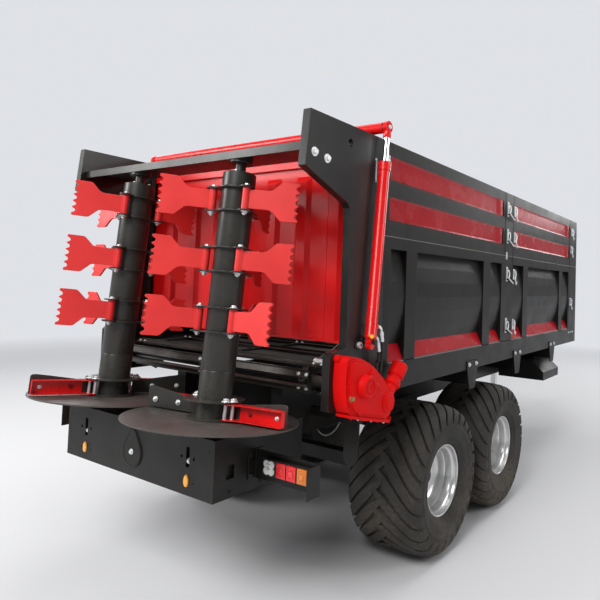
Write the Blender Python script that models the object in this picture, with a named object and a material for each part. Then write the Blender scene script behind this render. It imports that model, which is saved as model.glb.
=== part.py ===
"""Solid manure spreader with two upright beaters, tandem axle and guillotine door.

Metres, +Z up, +Y towards the tractor, +X to the right. While it is built, Y = 0 is
the upright rear edge of the side plates, Z = 0 the ground and X = 0 the middle of
the machine. At the end everything moves by ORIGIN_Y, so that the origin lies on the
ground in the middle of the footprint.
"""
import math

import bmesh
import bpy
from mathutils import Matrix, Vector

# ---------------------------------------------------------------- driving sizes
GAP = 0.0003              # seat between pieces that touch
RUN = 0.006               # running clearance between bodies

HALF_W = 0.97             # outer face of the body sides
BODY_LEN = 4.60           # rear plate edge to front wall
TOP_Z = 2.51              # top of boards, plates and front wall
SPLIT_Z = 1.972           # boards stand on the lower sides here
SILL_LO = 1.10
SILL_HI = 1.255
SILL_W = 0.07
FLOOR_Z = 1.250           # top of the floor sheet
FLOOR_T = 0.005
PLATE_T = 0.045           # boxed rear side plate
PLATE_FRONT = 0.330       # its front edge
HORN_TOP_Y = -0.340
HORN_LOW_Y = -0.365
HORN_LOW_Z = TOP_Z - 0.270
HORN_ROOT_Z = TOP_Z - 0.410
HORN_HOLE_R = 0.022
EAR_REAR = -0.130          # lower ear that carries the floor shaft
EAR_HI = 1.360
EAR_LO = 1.075
INNER_X = HALF_W - PLATE_T

POST_T = 0.045
RAIL_LO = 1.905           # top rail of the lower sides
STRIP_LO = 1.264          # sloped strip above the sill
STRIP_HI = 1.355
BULGE = 0.040             # how far a side panel bows outwards
SKIN = 0.004
# post: rear edge, front edge (Y)
POSTS = [(PLATE_FRONT + 0.001, 0.400), (0.580, 0.710), (1.763, 1.905), (2.145, 2.408),
         (2.692, 2.821), (BODY_LEN - 0.723, BODY_LEN - 0.598), (BODY_LEN - 0.342, BODY_LEN - 0.031)]
MID_SPLIT = 2.320
BOARD_T = 0.030
GROOVE = 0.013
# painted groove: low edge, high edge (Z)
GROOVES = [(TOP_Z - 0.442, TOP_Z - 0.310), (TOP_Z - 0.212, TOP_Z - 0.080)]

WHEEL_R = 0.4725
WHEEL_SEGS = 24
TYRE_W = 0.50
TRACK_X = 0.850           # wheel centre plane
BOGIE_Y = 1.485
AXLE_Y = [BOGIE_Y - WHEEL_R - 0.0275, BOGIE_Y + WHEEL_R + 0.0275]
HUB_Z = WHEEL_R * math.cos(math.pi / WHEEL_SEGS)
RIM_R = 0.222
RIM_HALF = 0.205
SEAT_R = 0.2165

RAIL_X = 0.42             # chassis rails
RAIL_W = 0.08
RAIL_LO_Z = 0.80
PIVOT_Z = HUB_Z + 0.19     # bogie spring pin
PIVOT_R = 0.028
CROSS_Y = [1.58, 2.56, BODY_LEN - 0.97]
CROSS_LO = 0.955

BEATER_X = HALF_W - 0.5355
BEATER_Y = -0.371         # beater axis at the disc
BEATER_Z = 1.006          # disc centre
LEAN = math.radians(5.0)  # beaters lean forwards at the top
DRUM_R = 0.085
DRUM_SEGS = 24
DISC_R = BEATER_X - 0.005      # the two discs just clear each other
DISC_T = 0.008
PADDLE_R = DISC_R - 0.0035     # tip of the throwing paddles
PADDLE_H = 0.098
HUB_RING = 0.150           # clamp plates that hold them
KNIFE_R = DISC_R - 0.0365
BUSH_R = DRUM_R + 0.040            # bolt circle of the knives
# level: height of the ring above the disc along the axis
LEVELS = [0.489, 0.792, 1.105]
RING_GAP = 0.114
RING_T = 0.008
DRUM_TOP = 1.253
SHAFT_TOP = 1.307

BOX_HALF = 0.620          # transmission housing under the discs
BOX_REAR = -0.511
BOX_LO = 0.670
BOX_HI = 0.957
BOX_FRONT = 0.100

DOOR_Y = 0.200
DOOR_T = 0.005
DOOR_HALF = INNER_X - 0.010
DOOR_LO = 1.370
DOOR_HI = TOP_Z - 0.090
RIB_D = 0.022
LIFT_Y = 0.245            # lift pipe
LIFT_Z = TOP_Z + 0.050
LIFT_R = 0.030
LIFT_X = HALF_W + 0.050            # plane of the lift cylinders
LIFT_PIN_R = 0.012
EYE_RUN = 0.0007            # running gap of the pin in that slot
EYE_PLAY = 0.009          # slot in the rod's eye, each way along Y
PIN_Y = 0.143             # lower cylinder pin
PIN_Z = 1.400
BARREL_R = 0.031
ROD_R = 0.016
BARREL_LEN = LIFT_Z - PIN_Z - 0.195

SHAFT_Y = -0.020          # rear shaft of the scraper floor
SHAFT_Z = 1.1965
CHAIN_IN = 0.054          # inner radius of the chain loop
CHAIN_T = 0.014
SLAT_H = 0.032
FRONT_SHAFT_Y = BODY_LEN - 0.150
SLAT_HALF = HALF_W - SILL_W - 0.100
CHAIN_X = [0.040 - SLAT_HALF, 0.0, SLAT_HALF - 0.040]
SLAT_PITCH = 0.345

BEAM_REAR = -0.320
BEAM_FRONT = 0.010
BEAM_LO = BEATER_Z + (SHAFT_TOP + 0.055) * math.cos(LEAN) - 0.037
BEAM_HI = BEAM_LO + 0.042

# ---------------------------------------------------------------- clean start
for old in list(bpy.data.objects):
    bpy.data.objects.remove(old, do_unlink=True)
for old in list(bpy.data.collections):
    bpy.data.collections.remove(old)

MAIN = bpy.data.collections.new("manure_spreader")
TOOLS = bpy.data.collections.new("cutters")
bpy.context.scene.collection.children.link(MAIN)
bpy.context.scene.collection.children.link(TOOLS)


def material(name, colour, metallic=0.0, roughness=0.5):
    mat = bpy.data.materials.new(name)
    mat.use_nodes = True
    shader = mat.node_tree.nodes["Principled BSDF"]
    shader.inputs["Base Color"].default_value = (*colour, 1.0)
    shader.inputs["Metallic"].default_value = metallic
    shader.inputs["Roughness"].default_value = roughness
    return mat


BLACK = (0.018, 0.019, 0.021)
RED = (0.62, 0.012, 0.015)
DARK_RED = (0.32, 0.010, 0.020)
STEEL = (0.50, 0.51, 0.53)
RUBBER = (0.022, 0.020, 0.018)
GREY = (0.10, 0.10, 0.11)


# ---------------------------------------------------------------- shape helpers
def raw(mesh_name, bm):
    mesh = bpy.data.meshes.new(mesh_name)
    bmesh.ops.recalc_face_normals(bm, faces=bm.faces)
    bm.to_mesh(mesh)
    bm.free()
    obj = bpy.data.objects.new(mesh_name, mesh)
    TOOLS.objects.link(obj)
    return obj


def box(x0, x1, y0, y1, z0, z1):
    bm = bmesh.new()
    bmesh.ops.create_cube(bm, size=1.0)
    for v in bm.verts:
        v.co.x = x0 if v.co.x < 0 else x1
        v.co.y = y0 if v.co.y < 0 else y1
        v.co.z = z0 if v.co.z < 0 else z1
    return raw("box", bm)


def prism(points, axis, lo, hi):
    """Extrude a closed outline along an axis; points are the other two axes in order."""
    bm = bmesh.new()
    place = {"X": lambda a, b: (lo, a, b), "Y": lambda a, b: (a, lo, b),
             "Z": lambda a, b: (a, b, lo)}[axis]
    face = bm.faces.new([bm.verts.new(place(a, b)) for a, b in points])
    out = bmesh.ops.extrude_face_region(bm, geom=[face])
    step = {"X": (hi - lo, 0, 0), "Y": (0, hi - lo, 0), "Z": (0, 0, hi - lo)}[axis]
    moved = [g for g in out["geom"] if isinstance(g, bmesh.types.BMVert)]
    bmesh.ops.translate(bm, verts=moved, vec=step)
    return raw("prism", bm)


def rod(a, b, r, segs=20, r2=None, turn=0.0):
    a = Vector(a)
    b = Vector(b)
    bm = bmesh.new()
    bmesh.ops.create_cone(bm, cap_ends=True, segments=segs, radius1=r,
                          radius2=r if r2 is None else r2, depth=(b - a).length)
    spin = Matrix.Rotation(turn, 4, "Z")
    aim = (b - a).to_track_quat("Z", "Y").to_matrix().to_4x4()
    bmesh.ops.transform(bm, verts=bm.verts, matrix=Matrix.Translation((a + b) / 2) @ aim @ spin)
    return raw("rod", bm)


def turned(profile, axis, centre, segs, start=0.0):
    """Revolve a closed profile of (along, radius) pairs about an axis through centre."""
    bm = bmesh.new()
    rings = []
    for i in range(segs):
        a = start + 2 * math.pi * i / segs
        c, s = math.cos(a), math.sin(a)
        ring = []
        for along, r in profile:
            co = {"X": (along, r * c, r * s), "Y": (r * s, along, r * c),
                  "Z": (r * c, r * s, along)}[axis]
            ring.append(bm.verts.new(Vector(co) + Vector(centre)))
        rings.append(ring)
    n = len(profile)
    for i in range(segs):
        for j in range(n):
            bm.faces.new([rings[i][j], rings[(i + 1) % segs][j],
                          rings[(i + 1) % segs][(j + 1) % n], rings[i][(j + 1) % n]])
    return raw("turned", bm)


def tube(a, b, r_out, r_in, segs=20):
    length = (Vector(b) - Vector(a)).length
    obj = turned([(0, r_in), (0, r_out), (length, r_out), (length, r_in)], "Z", (0, 0, 0), segs)
    aim = (Vector(b) - Vector(a)).to_track_quat("Z", "Y").to_matrix().to_4x4()
    obj.data.transform(Matrix.Translation(a) @ aim)
    return obj


def spun(obj, angle, centre, axis="Z"):
    turn = Matrix.Translation(centre) @ Matrix.Rotation(angle, 4, axis) @ Matrix.Translation(-Vector(centre))
    obj.data.transform(turn)
    return obj


def flipped(obj):
    """Mirror a helper's mesh in X."""
    obj.data.transform(Matrix.Scale(-1, 4, (1, 0, 0)))
    obj.data.flip_normals()
    return obj


def node(name, colour, base, adds=(), cuts=(), pivot=(0, 0, 0), metallic=0.0, roughness=0.5,
         parent=None):
    """Finish one named piece: base + adds - cuts, with its origin at pivot."""
    TOOLS.objects.unlink(base)
    MAIN.objects.link(base)
    base.name = name
    base.data.name = name
    base.data.materials.append(material(name, colour, metallic, roughness))
    for mode, group in (("UNION", adds), ("DIFFERENCE", cuts)):
        if not group:
            continue
        shelf = bpy.data.collections.new(name + "_" + mode.lower())
        TOOLS.children.link(shelf)
        for helper in group:
            TOOLS.objects.unlink(helper)
            shelf.objects.link(helper)
            helper.name = name + "_tool"
            helper.hide_render = True
            helper.display_type = "WIRE"
            helper.parent = base
        mod = base.modifiers.new(mode.lower(), "BOOLEAN")
        mod.operation = mode
        mod.solver = "EXACT"
        mod.operand_type = "COLLECTION"
        mod.collection = shelf
    if parent is not None:
        base.parent = parent
    elif tuple(pivot) != (0, 0, 0):
        for obj in [base, *adds, *cuts]:
            obj.data.transform(Matrix.Translation(-Vector(pivot)))
        base.location = pivot
    return base


SIDES = [("right", 1), ("left", -1)]


def sided(obj, side):
    return obj if side > 0 else flipped(obj)


# ---------------------------------------------------------------- chassis
STRAP_T = 0.008
STRAP_HI = SILL_LO + 0.060
GUARD_Y = 0.380            # cross tube and hangers behind the rear wheels
GUARD_X = 0.820


def rails():
    parts = []
    for x in (-RAIL_X, RAIL_X):
        parts.append(box(x - RAIL_W / 2, x + RAIL_W / 2, BOX_FRONT + GAP, BODY_LEN - 0.05,
                         RAIL_LO_Z, SILL_LO - GAP))
    for y in CROSS_Y:
        parts.append(box(-HALF_W - STRAP_T, HALF_W + STRAP_T, y - 0.05, y + 0.05, 0.99, SILL_LO - GAP))
        for s in (-1, 1):
            strap = prism([(y - 0.05, CROSS_LO), (y + 0.05, CROSS_LO), (y + 0.09, SILL_LO),
                           (y + 0.09, STRAP_HI), (y - 0.09, STRAP_HI), (y - 0.09, SILL_LO)],
                          "X", HALF_W + GAP, HALF_W + STRAP_T)
            parts.append(sided(strap, s))
    for y in (GUARD_Y, BODY_LEN - 0.40):
        parts.append(box(-RAIL_X, RAIL_X, y - 0.04, y + 0.04, 0.90, SILL_LO - GAP))
    for s in (-1, 1):
        parts.append(sided(box(RAIL_X, GUARD_X, GUARD_Y - 0.02, GUARD_Y + 0.02, 0.90, 0.95), s))
        hanger = prism([(GUARD_X - 0.10, 0.945), (GUARD_X, 0.945), (GUARD_X, 0.700),
                        (GUARD_X - 0.03, 0.660), (GUARD_X - 0.08, 0.660), (GUARD_X - 0.10, 0.690)],
                       "Y", GUARD_Y - 0.027, GUARD_Y - 0.015)
        parts.append(sided(hanger, s))
    mid = sum(AXLE_Y) / 2
    for s in (-1, 1):
        for x in (s * RAIL_X - 0.065, s * RAIL_X + 0.053):
            parts.append(prism([(mid - 0.16, RAIL_LO_Z + 0.05), (mid + 0.16, RAIL_LO_Z + 0.05),
                                (mid + 0.06, PIVOT_Z - 0.06), (mid - 0.06, PIVOT_Z - 0.06)],
                               "X", x, x + 0.012))
        parts.append(box(s * RAIL_X - 0.065, s * RAIL_X + 0.065, mid - 0.16, mid + 0.16,
                         RAIL_LO_Z - 0.02, RAIL_LO_Z + 0.03))
        parts.append(rod((s * RAIL_X - 0.075, mid, PIVOT_Z), (s * RAIL_X + 0.075, mid, PIVOT_Z),
                         PIVOT_R, 12))
    return parts


frame_parts = rails()
node("chassis_frame", BLACK, frame_parts[0], frame_parts[1:])

# parking jack
JACK_X = -0.30
JACK_Y = BODY_LEN + 0.690
JACK_OUT = 0.040
JACK_IN = 0.033

# drawbar: two converging beams, a nose and the towing eye
NOSE_Y = BODY_LEN + 1.150
EYE_Y = BODY_LEN + 1.540
EYE_R = 0.075
EYE_BORE = 0.028
DRAW_LO = 0.83
DRAW_HI = 0.97


def draw_beam(side):
    pts = [(RAIL_X - 0.04, BODY_LEN - 0.05 + GAP), (RAIL_X + 0.04, BODY_LEN - 0.05 + GAP),
           (0.075, NOSE_Y), (-0.03, NOSE_Y)]
    return sided(prism(pts, "Z", DRAW_LO, DRAW_HI), side)


node("drawbar", BLACK, draw_beam(1),
     [draw_beam(-1),
      box(-0.075, 0.075, NOSE_Y - 0.12, EYE_Y - 0.055, DRAW_LO + 0.01, DRAW_HI - 0.01),
      rod((0, EYE_Y, 0.868), (0, EYE_Y, 0.932), EYE_R, 28),
      box(-0.30, 0.30, BODY_LEN + 0.38, BODY_LEN + 0.44, DRAW_LO + 0.01, DRAW_HI - 0.01),
      box(JACK_X + JACK_OUT + GAP, -0.17, JACK_Y - JACK_OUT, JACK_Y + JACK_OUT,
          DRAW_LO + 0.01, DRAW_HI - 0.01)],
     [rod((0, EYE_Y, 0.80), (0, EYE_Y, 1.0), EYE_BORE, 24)])

node("jack_tube", BLACK,
     box(JACK_X - JACK_OUT, JACK_X + JACK_OUT, JACK_Y - JACK_OUT, JACK_Y + JACK_OUT, 0.56, 1.22),
     [], [box(JACK_X - JACK_IN - GAP, JACK_X + JACK_IN + GAP, JACK_Y - JACK_IN - GAP,
              JACK_Y + JACK_IN + GAP, 0.50, 1.20)])
node("jack_leg", STEEL,
     box(JACK_X - JACK_IN, JACK_X + JACK_IN, JACK_Y - JACK_IN, JACK_Y + JACK_IN, 0.012, 0.74),
     [box(JACK_X - 0.10, JACK_X + 0.10, JACK_Y - 0.10, JACK_Y + 0.10, 0.0, 0.014)],
     pivot=(JACK_X, JACK_Y, 0.0), metallic=0.8)

# ---------------------------------------------------------------- running gear
for label, y in (("rear", AXLE_Y[0]), ("front", AXLE_Y[1])):
    beam = box(-0.66, 0.66, y - 0.045, y + 0.045, HUB_Z - 0.045, HUB_Z + 0.045)
    extra = []
    for s in (-1, 1):
        extra.append(rod((s * 0.65, y, HUB_Z), (s * 0.765, y, HUB_Z), 0.150, 16))
        extra.append(rod((s * 0.64, y, HUB_Z), (s * (0.80 - GAP), y, HUB_Z), 0.040, 12))
        extra.append(box(s * RAIL_X - 0.04, s * RAIL_X + 0.04, y - 0.06, y + 0.06,
                         HUB_Z - 0.055, HUB_Z + 0.055))
    node(label + "_axle", BLACK, beam, extra)

for side_name, s in SIDES:
    mid = sum(AXLE_Y) / 2
    top = PIVOT_Z
    seat = HUB_Z + 0.055 + GAP
    a, b = AXLE_Y
    outline = [(a - 0.09, seat), (a + 0.09, seat), (mid - 0.25, top - 0.06), (mid - 0.06, top - 0.075),
               (mid + 0.06, top - 0.075), (mid + 0.25, top - 0.06), (b - 0.09, seat), (b + 0.09, seat),
               (b + 0.09, seat + 0.03), (mid + 0.10, top + 0.05), (mid - 0.10, top + 0.05),
               (a - 0.09, seat + 0.03)]
    spring = prism(outline, "X", s * RAIL_X - 0.045, s * RAIL_X + 0.045)
    bore = rod((s * RAIL_X - 0.1, mid, top), (s * RAIL_X + 0.1, mid, top), PIVOT_R + GAP, 12)
    node(side_name + "_bogie_spring", BLACK, spring, [], [bore])

TYRE_PROFILE = [(-0.186, SEAT_R), (-0.232, 0.255), (-0.250, 0.340), (-0.228, WHEEL_R - 0.0375),
                (-0.150, WHEEL_R - 0.0075), (0.0, WHEEL_R), (0.150, WHEEL_R - 0.0075),
                (0.228, WHEEL_R - 0.0375), (0.250, 0.340), (0.232, 0.255), (0.186, SEAT_R)]
RIM_PROFILE = [(-RIM_HALF, RIM_R), (-0.187, SEAT_R - GAP), (0.187, SEAT_R - GAP),
               (RIM_HALF, RIM_R), (RIM_HALF, 0.213), (0.160, 0.190),
               (0.060, 0.180), (0.040, 0.060), (0.030, 0.060), (0.052, 0.195),
               (-RIM_HALF, 0.210)]
for label, y in (("rear", AXLE_Y[0]), ("front", AXLE_Y[1])):
    for side_name, s in SIDES:
        hub = (s * TRACK_X, y, HUB_Z)
        half = math.pi / WHEEL_SEGS
        start = -math.pi / 2 + half
        tyre = turned([(s * u, r) for u, r in TYRE_PROFILE], "X", hub, WHEEL_SEGS, start)
        node(f"{label}_{side_name}_tyre", RUBBER, tyre, pivot=hub, roughness=0.9)
        rim = turned([(s * u, r) for u, r in RIM_PROFILE], "X", hub, WHEEL_SEGS, start)
        cap = rod((s * 0.80, y, HUB_Z), (s * (TRACK_X + 0.095), y, HUB_Z), 0.066, 14)
        node(f"{label}_{side_name}_rim", STEEL, rim, [cap], pivot=hub, metallic=0.8, roughness=0.35)

# ---------------------------------------------------------------- body
FLOOR_HALF = HALF_W - SILL_W - GAP
floor_parts = [box(-FLOOR_HALF, FLOOR_HALF, SHAFT_Y + 0.065, FRONT_SHAFT_Y - 0.065, FLOOR_Z - FLOOR_T, FLOOR_Z)]
BEARERS = 8
for i in range(BEARERS):
    y = SHAFT_Y + 0.44 + i * (FRONT_SHAFT_Y - SHAFT_Y - 0.73) / (BEARERS - 1)
    floor_parts.append(box(-FLOOR_HALF, FLOOR_HALF, y - 0.03, y + 0.03, SHAFT_Z - 0.0115,
                           FLOOR_Z - FLOOR_T / 2))
node("body_floor", GREY, floor_parts[0], floor_parts[1:])


def panel_outline():
    """Section of a lower side: sill, sloped strip, bowed panel and top rail."""
    face = HALF_W - POST_T
    outer = [(HALF_W - 0.005, STRIP_LO), (face, STRIP_HI)]
    steps = 6
    for i in range(1, steps):
        t = i / steps
        bow = BULGE * (1 - (2 * t - 1) ** 2)
        outer.append((face + bow, STRIP_HI + (RAIL_LO - STRIP_HI) * t))
    outer += [(face, RAIL_LO), (face, RAIL_LO + 0.01)]
    inner = [(x - SKIN, z) for x, z in reversed(outer)]
    return outer + inner


LOWER_REAR = PLATE_FRONT + GAP
LOWER_FRONT = BODY_LEN - 0.030 - GAP
for side_name, s in SIDES:
    skin = sided(prism(panel_outline(), "Y", LOWER_REAR, LOWER_FRONT), s)
    adds = [sided(box(HALF_W - SILL_W, HALF_W, LOWER_REAR, LOWER_FRONT, SILL_LO, SILL_HI), s),
            sided(box(HALF_W - POST_T - SKIN, HALF_W - 0.004, LOWER_REAR, LOWER_FRONT,
                      SILL_HI - 0.004, STRIP_LO + 0.003), s),
            sided(box(HALF_W - POST_T - SKIN, HALF_W, LOWER_REAR, LOWER_FRONT, RAIL_LO, SPLIT_Z), s)]
    for y0, y1 in POSTS:
        adds.append(sided(box(HALF_W - POST_T - SKIN, HALF_W, y0, min(y1, LOWER_FRONT),
                              SILL_HI - 0.01, RAIL_LO + 0.01), s))
    node(side_name + "_side_panel", BLACK, skin, adds, roughness=0.35)


def board_outline():
    pts = [(HALF_W, SPLIT_Z + GAP)]
    for lo, hi in GROOVES:
        pts += [(HALF_W, lo), (HALF_W - GROOVE, lo + 0.012), (HALF_W - GROOVE, hi - 0.012), (HALF_W, hi)]
    return pts + [(HALF_W, TOP_Z), (HALF_W - BOARD_T, TOP_Z), (HALF_W - BOARD_T, SPLIT_Z + GAP)]


BOARDS = [("rear", PLATE_FRONT + GAP, MID_SPLIT, 0.045, 0.155),
          ("front", MID_SPLIT + 0.008, LOWER_FRONT, 0.105, 0.300)]
for label, y0, y1, end0, end1 in BOARDS:
    for side_name, s in SIDES:
        board = sided(prism(board_outline(), "Y", y0, y1), s)
        ends = [sided(box(HALF_W - BOARD_T, HALF_W, y0, y0 + end0, SPLIT_Z + GAP, TOP_Z), s),
                sided(box(HALF_W - BOARD_T, HALF_W, y1 - end1, y1, SPLIT_Z + GAP, TOP_Z), s)]
        node(f"{label}_{side_name}_board", BLACK, board, ends, roughness=0.35)

front = [box(-HALF_W, HALF_W, BODY_LEN - 0.03, BODY_LEN - 0.024, SILL_LO, TOP_Z),
         box(-HALF_W, HALF_W, BODY_LEN - 0.03, BODY_LEN, TOP_Z - 0.06, TOP_Z),
         box(-HALF_W, HALF_W, BODY_LEN - 0.03, BODY_LEN, SILL_LO, SILL_LO + 0.12),
         box(-HALF_W, HALF_W, BODY_LEN - 0.03, BODY_LEN, SPLIT_Z - 0.03, SPLIT_Z + 0.03)]
for x in (0.025 - HALF_W, -HALF_W / 2, 0.0, HALF_W / 2, HALF_W - 0.025):
    front.append(box(x - 0.025, x + 0.025, BODY_LEN - 0.028, BODY_LEN, SILL_LO, TOP_Z))
# apron over the front shaft of the scraper floor
front.append(prism([(BODY_LEN - 0.029, 1.400), (BODY_LEN - 0.029, 1.395), (FRONT_SHAFT_Y - 0.11, 1.300),
                    (FRONT_SHAFT_Y - 0.11, 1.305)], "X", SILL_W - HALF_W, HALF_W - SILL_W))
node("front_wall", BLACK, front[0], front[1:])

# ---------------------------------------------------------------- rear frame
PLATE_OUTLINE = [(PLATE_FRONT, 1.06), (PLATE_FRONT, TOP_Z), (HORN_TOP_Y, TOP_Z),
                 (HORN_LOW_Y, HORN_LOW_Z), (-0.030, HORN_ROOT_Z + 0.010), (-0.007, HORN_ROOT_Z - 0.015),
                 (0.0, HORN_ROOT_Z - 0.050), (0.0, EAR_HI + 0.015), (EAR_REAR + 0.02, EAR_HI),
                 (EAR_REAR, EAR_HI - 0.02), (EAR_REAR, EAR_LO), (0.0, 1.06)]
HORN_HOLE_Y = -0.020
GUIDE_LO = DOOR_LO - 0.090
GUIDE_REAR = DOOR_Y - RIB_D - RUN
GUIDE_FRONT = DOOR_Y + DOOR_T + RUN
for side_name, s in SIDES:
    plate = sided(prism(PLATE_OUTLINE, "X", INNER_X, HALF_W), s)
    adds = [sided(box(INNER_X - 0.030, INNER_X + 0.01, GUIDE_REAR - 0.010, GUIDE_REAR,
                      GUIDE_LO, TOP_Z - 0.01), s),
            sided(box(INNER_X - 0.030, INNER_X + 0.01, GUIDE_FRONT, GUIDE_FRONT + 0.010,
                      GUIDE_LO, TOP_Z - 0.01), s),
            sided(rod((HALF_W - 0.01, PIN_Y, PIN_Z), (LIFT_X + 0.035, PIN_Y, PIN_Z), 0.012, 16), s),
            sided(rod((HALF_W - 0.01, PIN_Y, PIN_Z), (LIFT_X - BARREL_R - 0.002, PIN_Y, PIN_Z), 0.028, 16), s)]
    hole = sided(rod((INNER_X - 0.01, HORN_HOLE_Y, TOP_Z - 0.092), (HALF_W + 0.01, HORN_HOLE_Y, TOP_Z - 0.092),
                     HORN_HOLE_R, 16), s)
    node(side_name + "_rear_plate", BLACK, plate, adds, [hole], roughness=0.4)

beam_outline = [(BEAM_REAR, BEAM_LO), (BEAM_REAR + 0.006, BEAM_LO), (BEAM_REAR + 0.006, BEAM_HI - 0.006),
                (BEAM_FRONT, BEAM_HI - 0.006), (BEAM_FRONT, BEAM_HI), (BEAM_REAR, BEAM_HI)]
beam = prism(beam_outline, "X", -INNER_X + GAP, INNER_X - GAP)
up = Vector((0, math.sin(LEAN), math.cos(LEAN)))
caps = []
for s in (-1, 1):
    foot = Vector((s * BEATER_X, BEATER_Y, BEATER_Z))
    caps.append(rod(foot + up * (SHAFT_TOP + GAP), foot + up * (SHAFT_TOP + 0.055), 0.06, 20))
node("top_beam", BLACK, beam, caps)

COVER_R = 0.080            # pear-shaped cover on the housing's rear face
COVER_T = 0.006
COVER_Z = BOX_LO + 0.125
SLOT_X = BEATER_X
SLOT_Z = BOX_HI - 0.110


def pear(reach):
    """Round cover drawn out to a narrow top."""
    pts = []
    for k in range(13):
        a = math.radians(150 + 240 * k / 12)
        pts.append((COVER_R * math.cos(a), COVER_Z + COVER_R * math.sin(a)))
    return pts + [(0.020, COVER_Z + reach), (-0.020, COVER_Z + reach)]


house_cuts = []
for s in (-1, 1):
    x = s * SLOT_X
    house_cuts.append(box(x - 0.013, x + 0.013, BOX_REAR - 0.01, BOX_REAR + 0.02, SLOT_Z - 0.045, SLOT_Z + 0.050))
    for dx in (-0.045, 0.045):
        house_cuts.append(rod((x + dx, BOX_REAR - 0.01, SLOT_Z), (x + dx, BOX_REAR + 0.02, SLOT_Z), 0.008, 8))
    house_cuts.append(sided(box(BOX_HALF - 0.02, BOX_HALF + 0.01, BOX_REAR + 0.075, BOX_REAR + 0.125,
                                BOX_LO + 0.09, BOX_LO + 0.155), s))
node("transmission_housing", BLACK,
     box(-BOX_HALF, BOX_HALF, BOX_REAR, BOX_FRONT, BOX_LO, BOX_HI),
     [prism(pear(0.115), "Y", BOX_REAR - COVER_T, BOX_REAR + 0.001)], house_cuts)

LAMP_Y = -0.250            # rear face of the lamp plates
LAMP_END = 1.030
LAMP_LO = 0.724
LAMP_HI = 0.868
for side_name, s in SIDES:
    plate = sided(box(BOX_HALF + GAP, LAMP_END, LAMP_Y, LAMP_Y + 0.008, LAMP_LO, LAMP_HI), s)
    adds = [sided(box(BOX_HALF + GAP, BOX_HALF + 0.010, LAMP_Y - 0.05, LAMP_Y + 0.05, LAMP_LO, LAMP_HI), s),
            sided(box(LAMP_END - 0.008, LAMP_END, LAMP_Y - 0.085, LAMP_Y + 0.008, LAMP_LO, LAMP_HI), s),
            sided(box(LAMP_END - 0.352, LAMP_END - 0.060, LAMP_Y - 0.030, LAMP_Y + 0.005,
                      LAMP_LO + 0.028, LAMP_HI - 0.040), s)]
    node(side_name + "_lamp_bracket", BLACK, plate, adds)

# ---------------------------------------------------------------- rear door and lift
door_rest = (0, DOOR_Y, DOOR_LO)
door_parts = [box(-DOOR_HALF, DOOR_HALF, DOOR_Y, DOOR_Y + DOOR_T, DOOR_LO, DOOR_HI),
              box(-DOOR_HALF, DOOR_HALF, DOOR_Y - RIB_D, DOOR_Y + 0.001, DOOR_HI - 0.05, DOOR_HI),
              box(-DOOR_HALF, DOOR_HALF, DOOR_Y - RIB_D, DOOR_Y + 0.001, DOOR_LO, DOOR_LO + 0.012)]
RIBS = 7
RIB_PITCH = 2 * (DOOR_HALF - 0.195) / (RIBS - 1)
for i in range(RIBS):
    x = -DOOR_HALF + 0.195 + RIB_PITCH * i
    rib = prism([(x - 0.06, DOOR_Y + 0.001), (x - 0.035, DOOR_Y - RIB_D), (x + 0.035, DOOR_Y - RIB_D),
                 (x + 0.06, DOOR_Y + 0.001)], "Z", DOOR_LO, DOOR_HI - 0.10)
    top = [v for v in rib.data.vertices if v.co.z > DOOR_LO + 0.1 and v.co.y < DOOR_Y]
    for v in top:
        v.co.z -= 0.030
    door_parts.append(rib)
node("rear_door", RED, door_parts[0], door_parts[1:], pivot=door_rest, roughness=0.3)

lift = rod((0.025 - LIFT_X, LIFT_Y, LIFT_Z), (LIFT_X - 0.025, LIFT_Y, LIFT_Z), LIFT_R, 20)
lift_adds = []
for s in (-1, 1):
    lift_adds.append(rod((s * (LIFT_X - 0.07), LIFT_Y, LIFT_Z), (s * (LIFT_X + 0.022), LIFT_Y, LIFT_Z), LIFT_PIN_R, 16))
    x = s * 0.50
    lift_adds.append(box(x - 0.03, x + 0.03, DOOR_Y + DOOR_T + GAP, DOOR_Y + DOOR_T + 0.010,
                         DOOR_HI - 0.05, LIFT_Z - 0.01))
    lift_adds.append(box(x - 0.03, x + 0.03, DOOR_Y + DOOR_T + GAP, LIFT_Y, LIFT_Z - 0.02, LIFT_Z - 0.01))
node("lift_pipe", RED, lift, lift_adds, pivot=door_rest, roughness=0.3)

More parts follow.
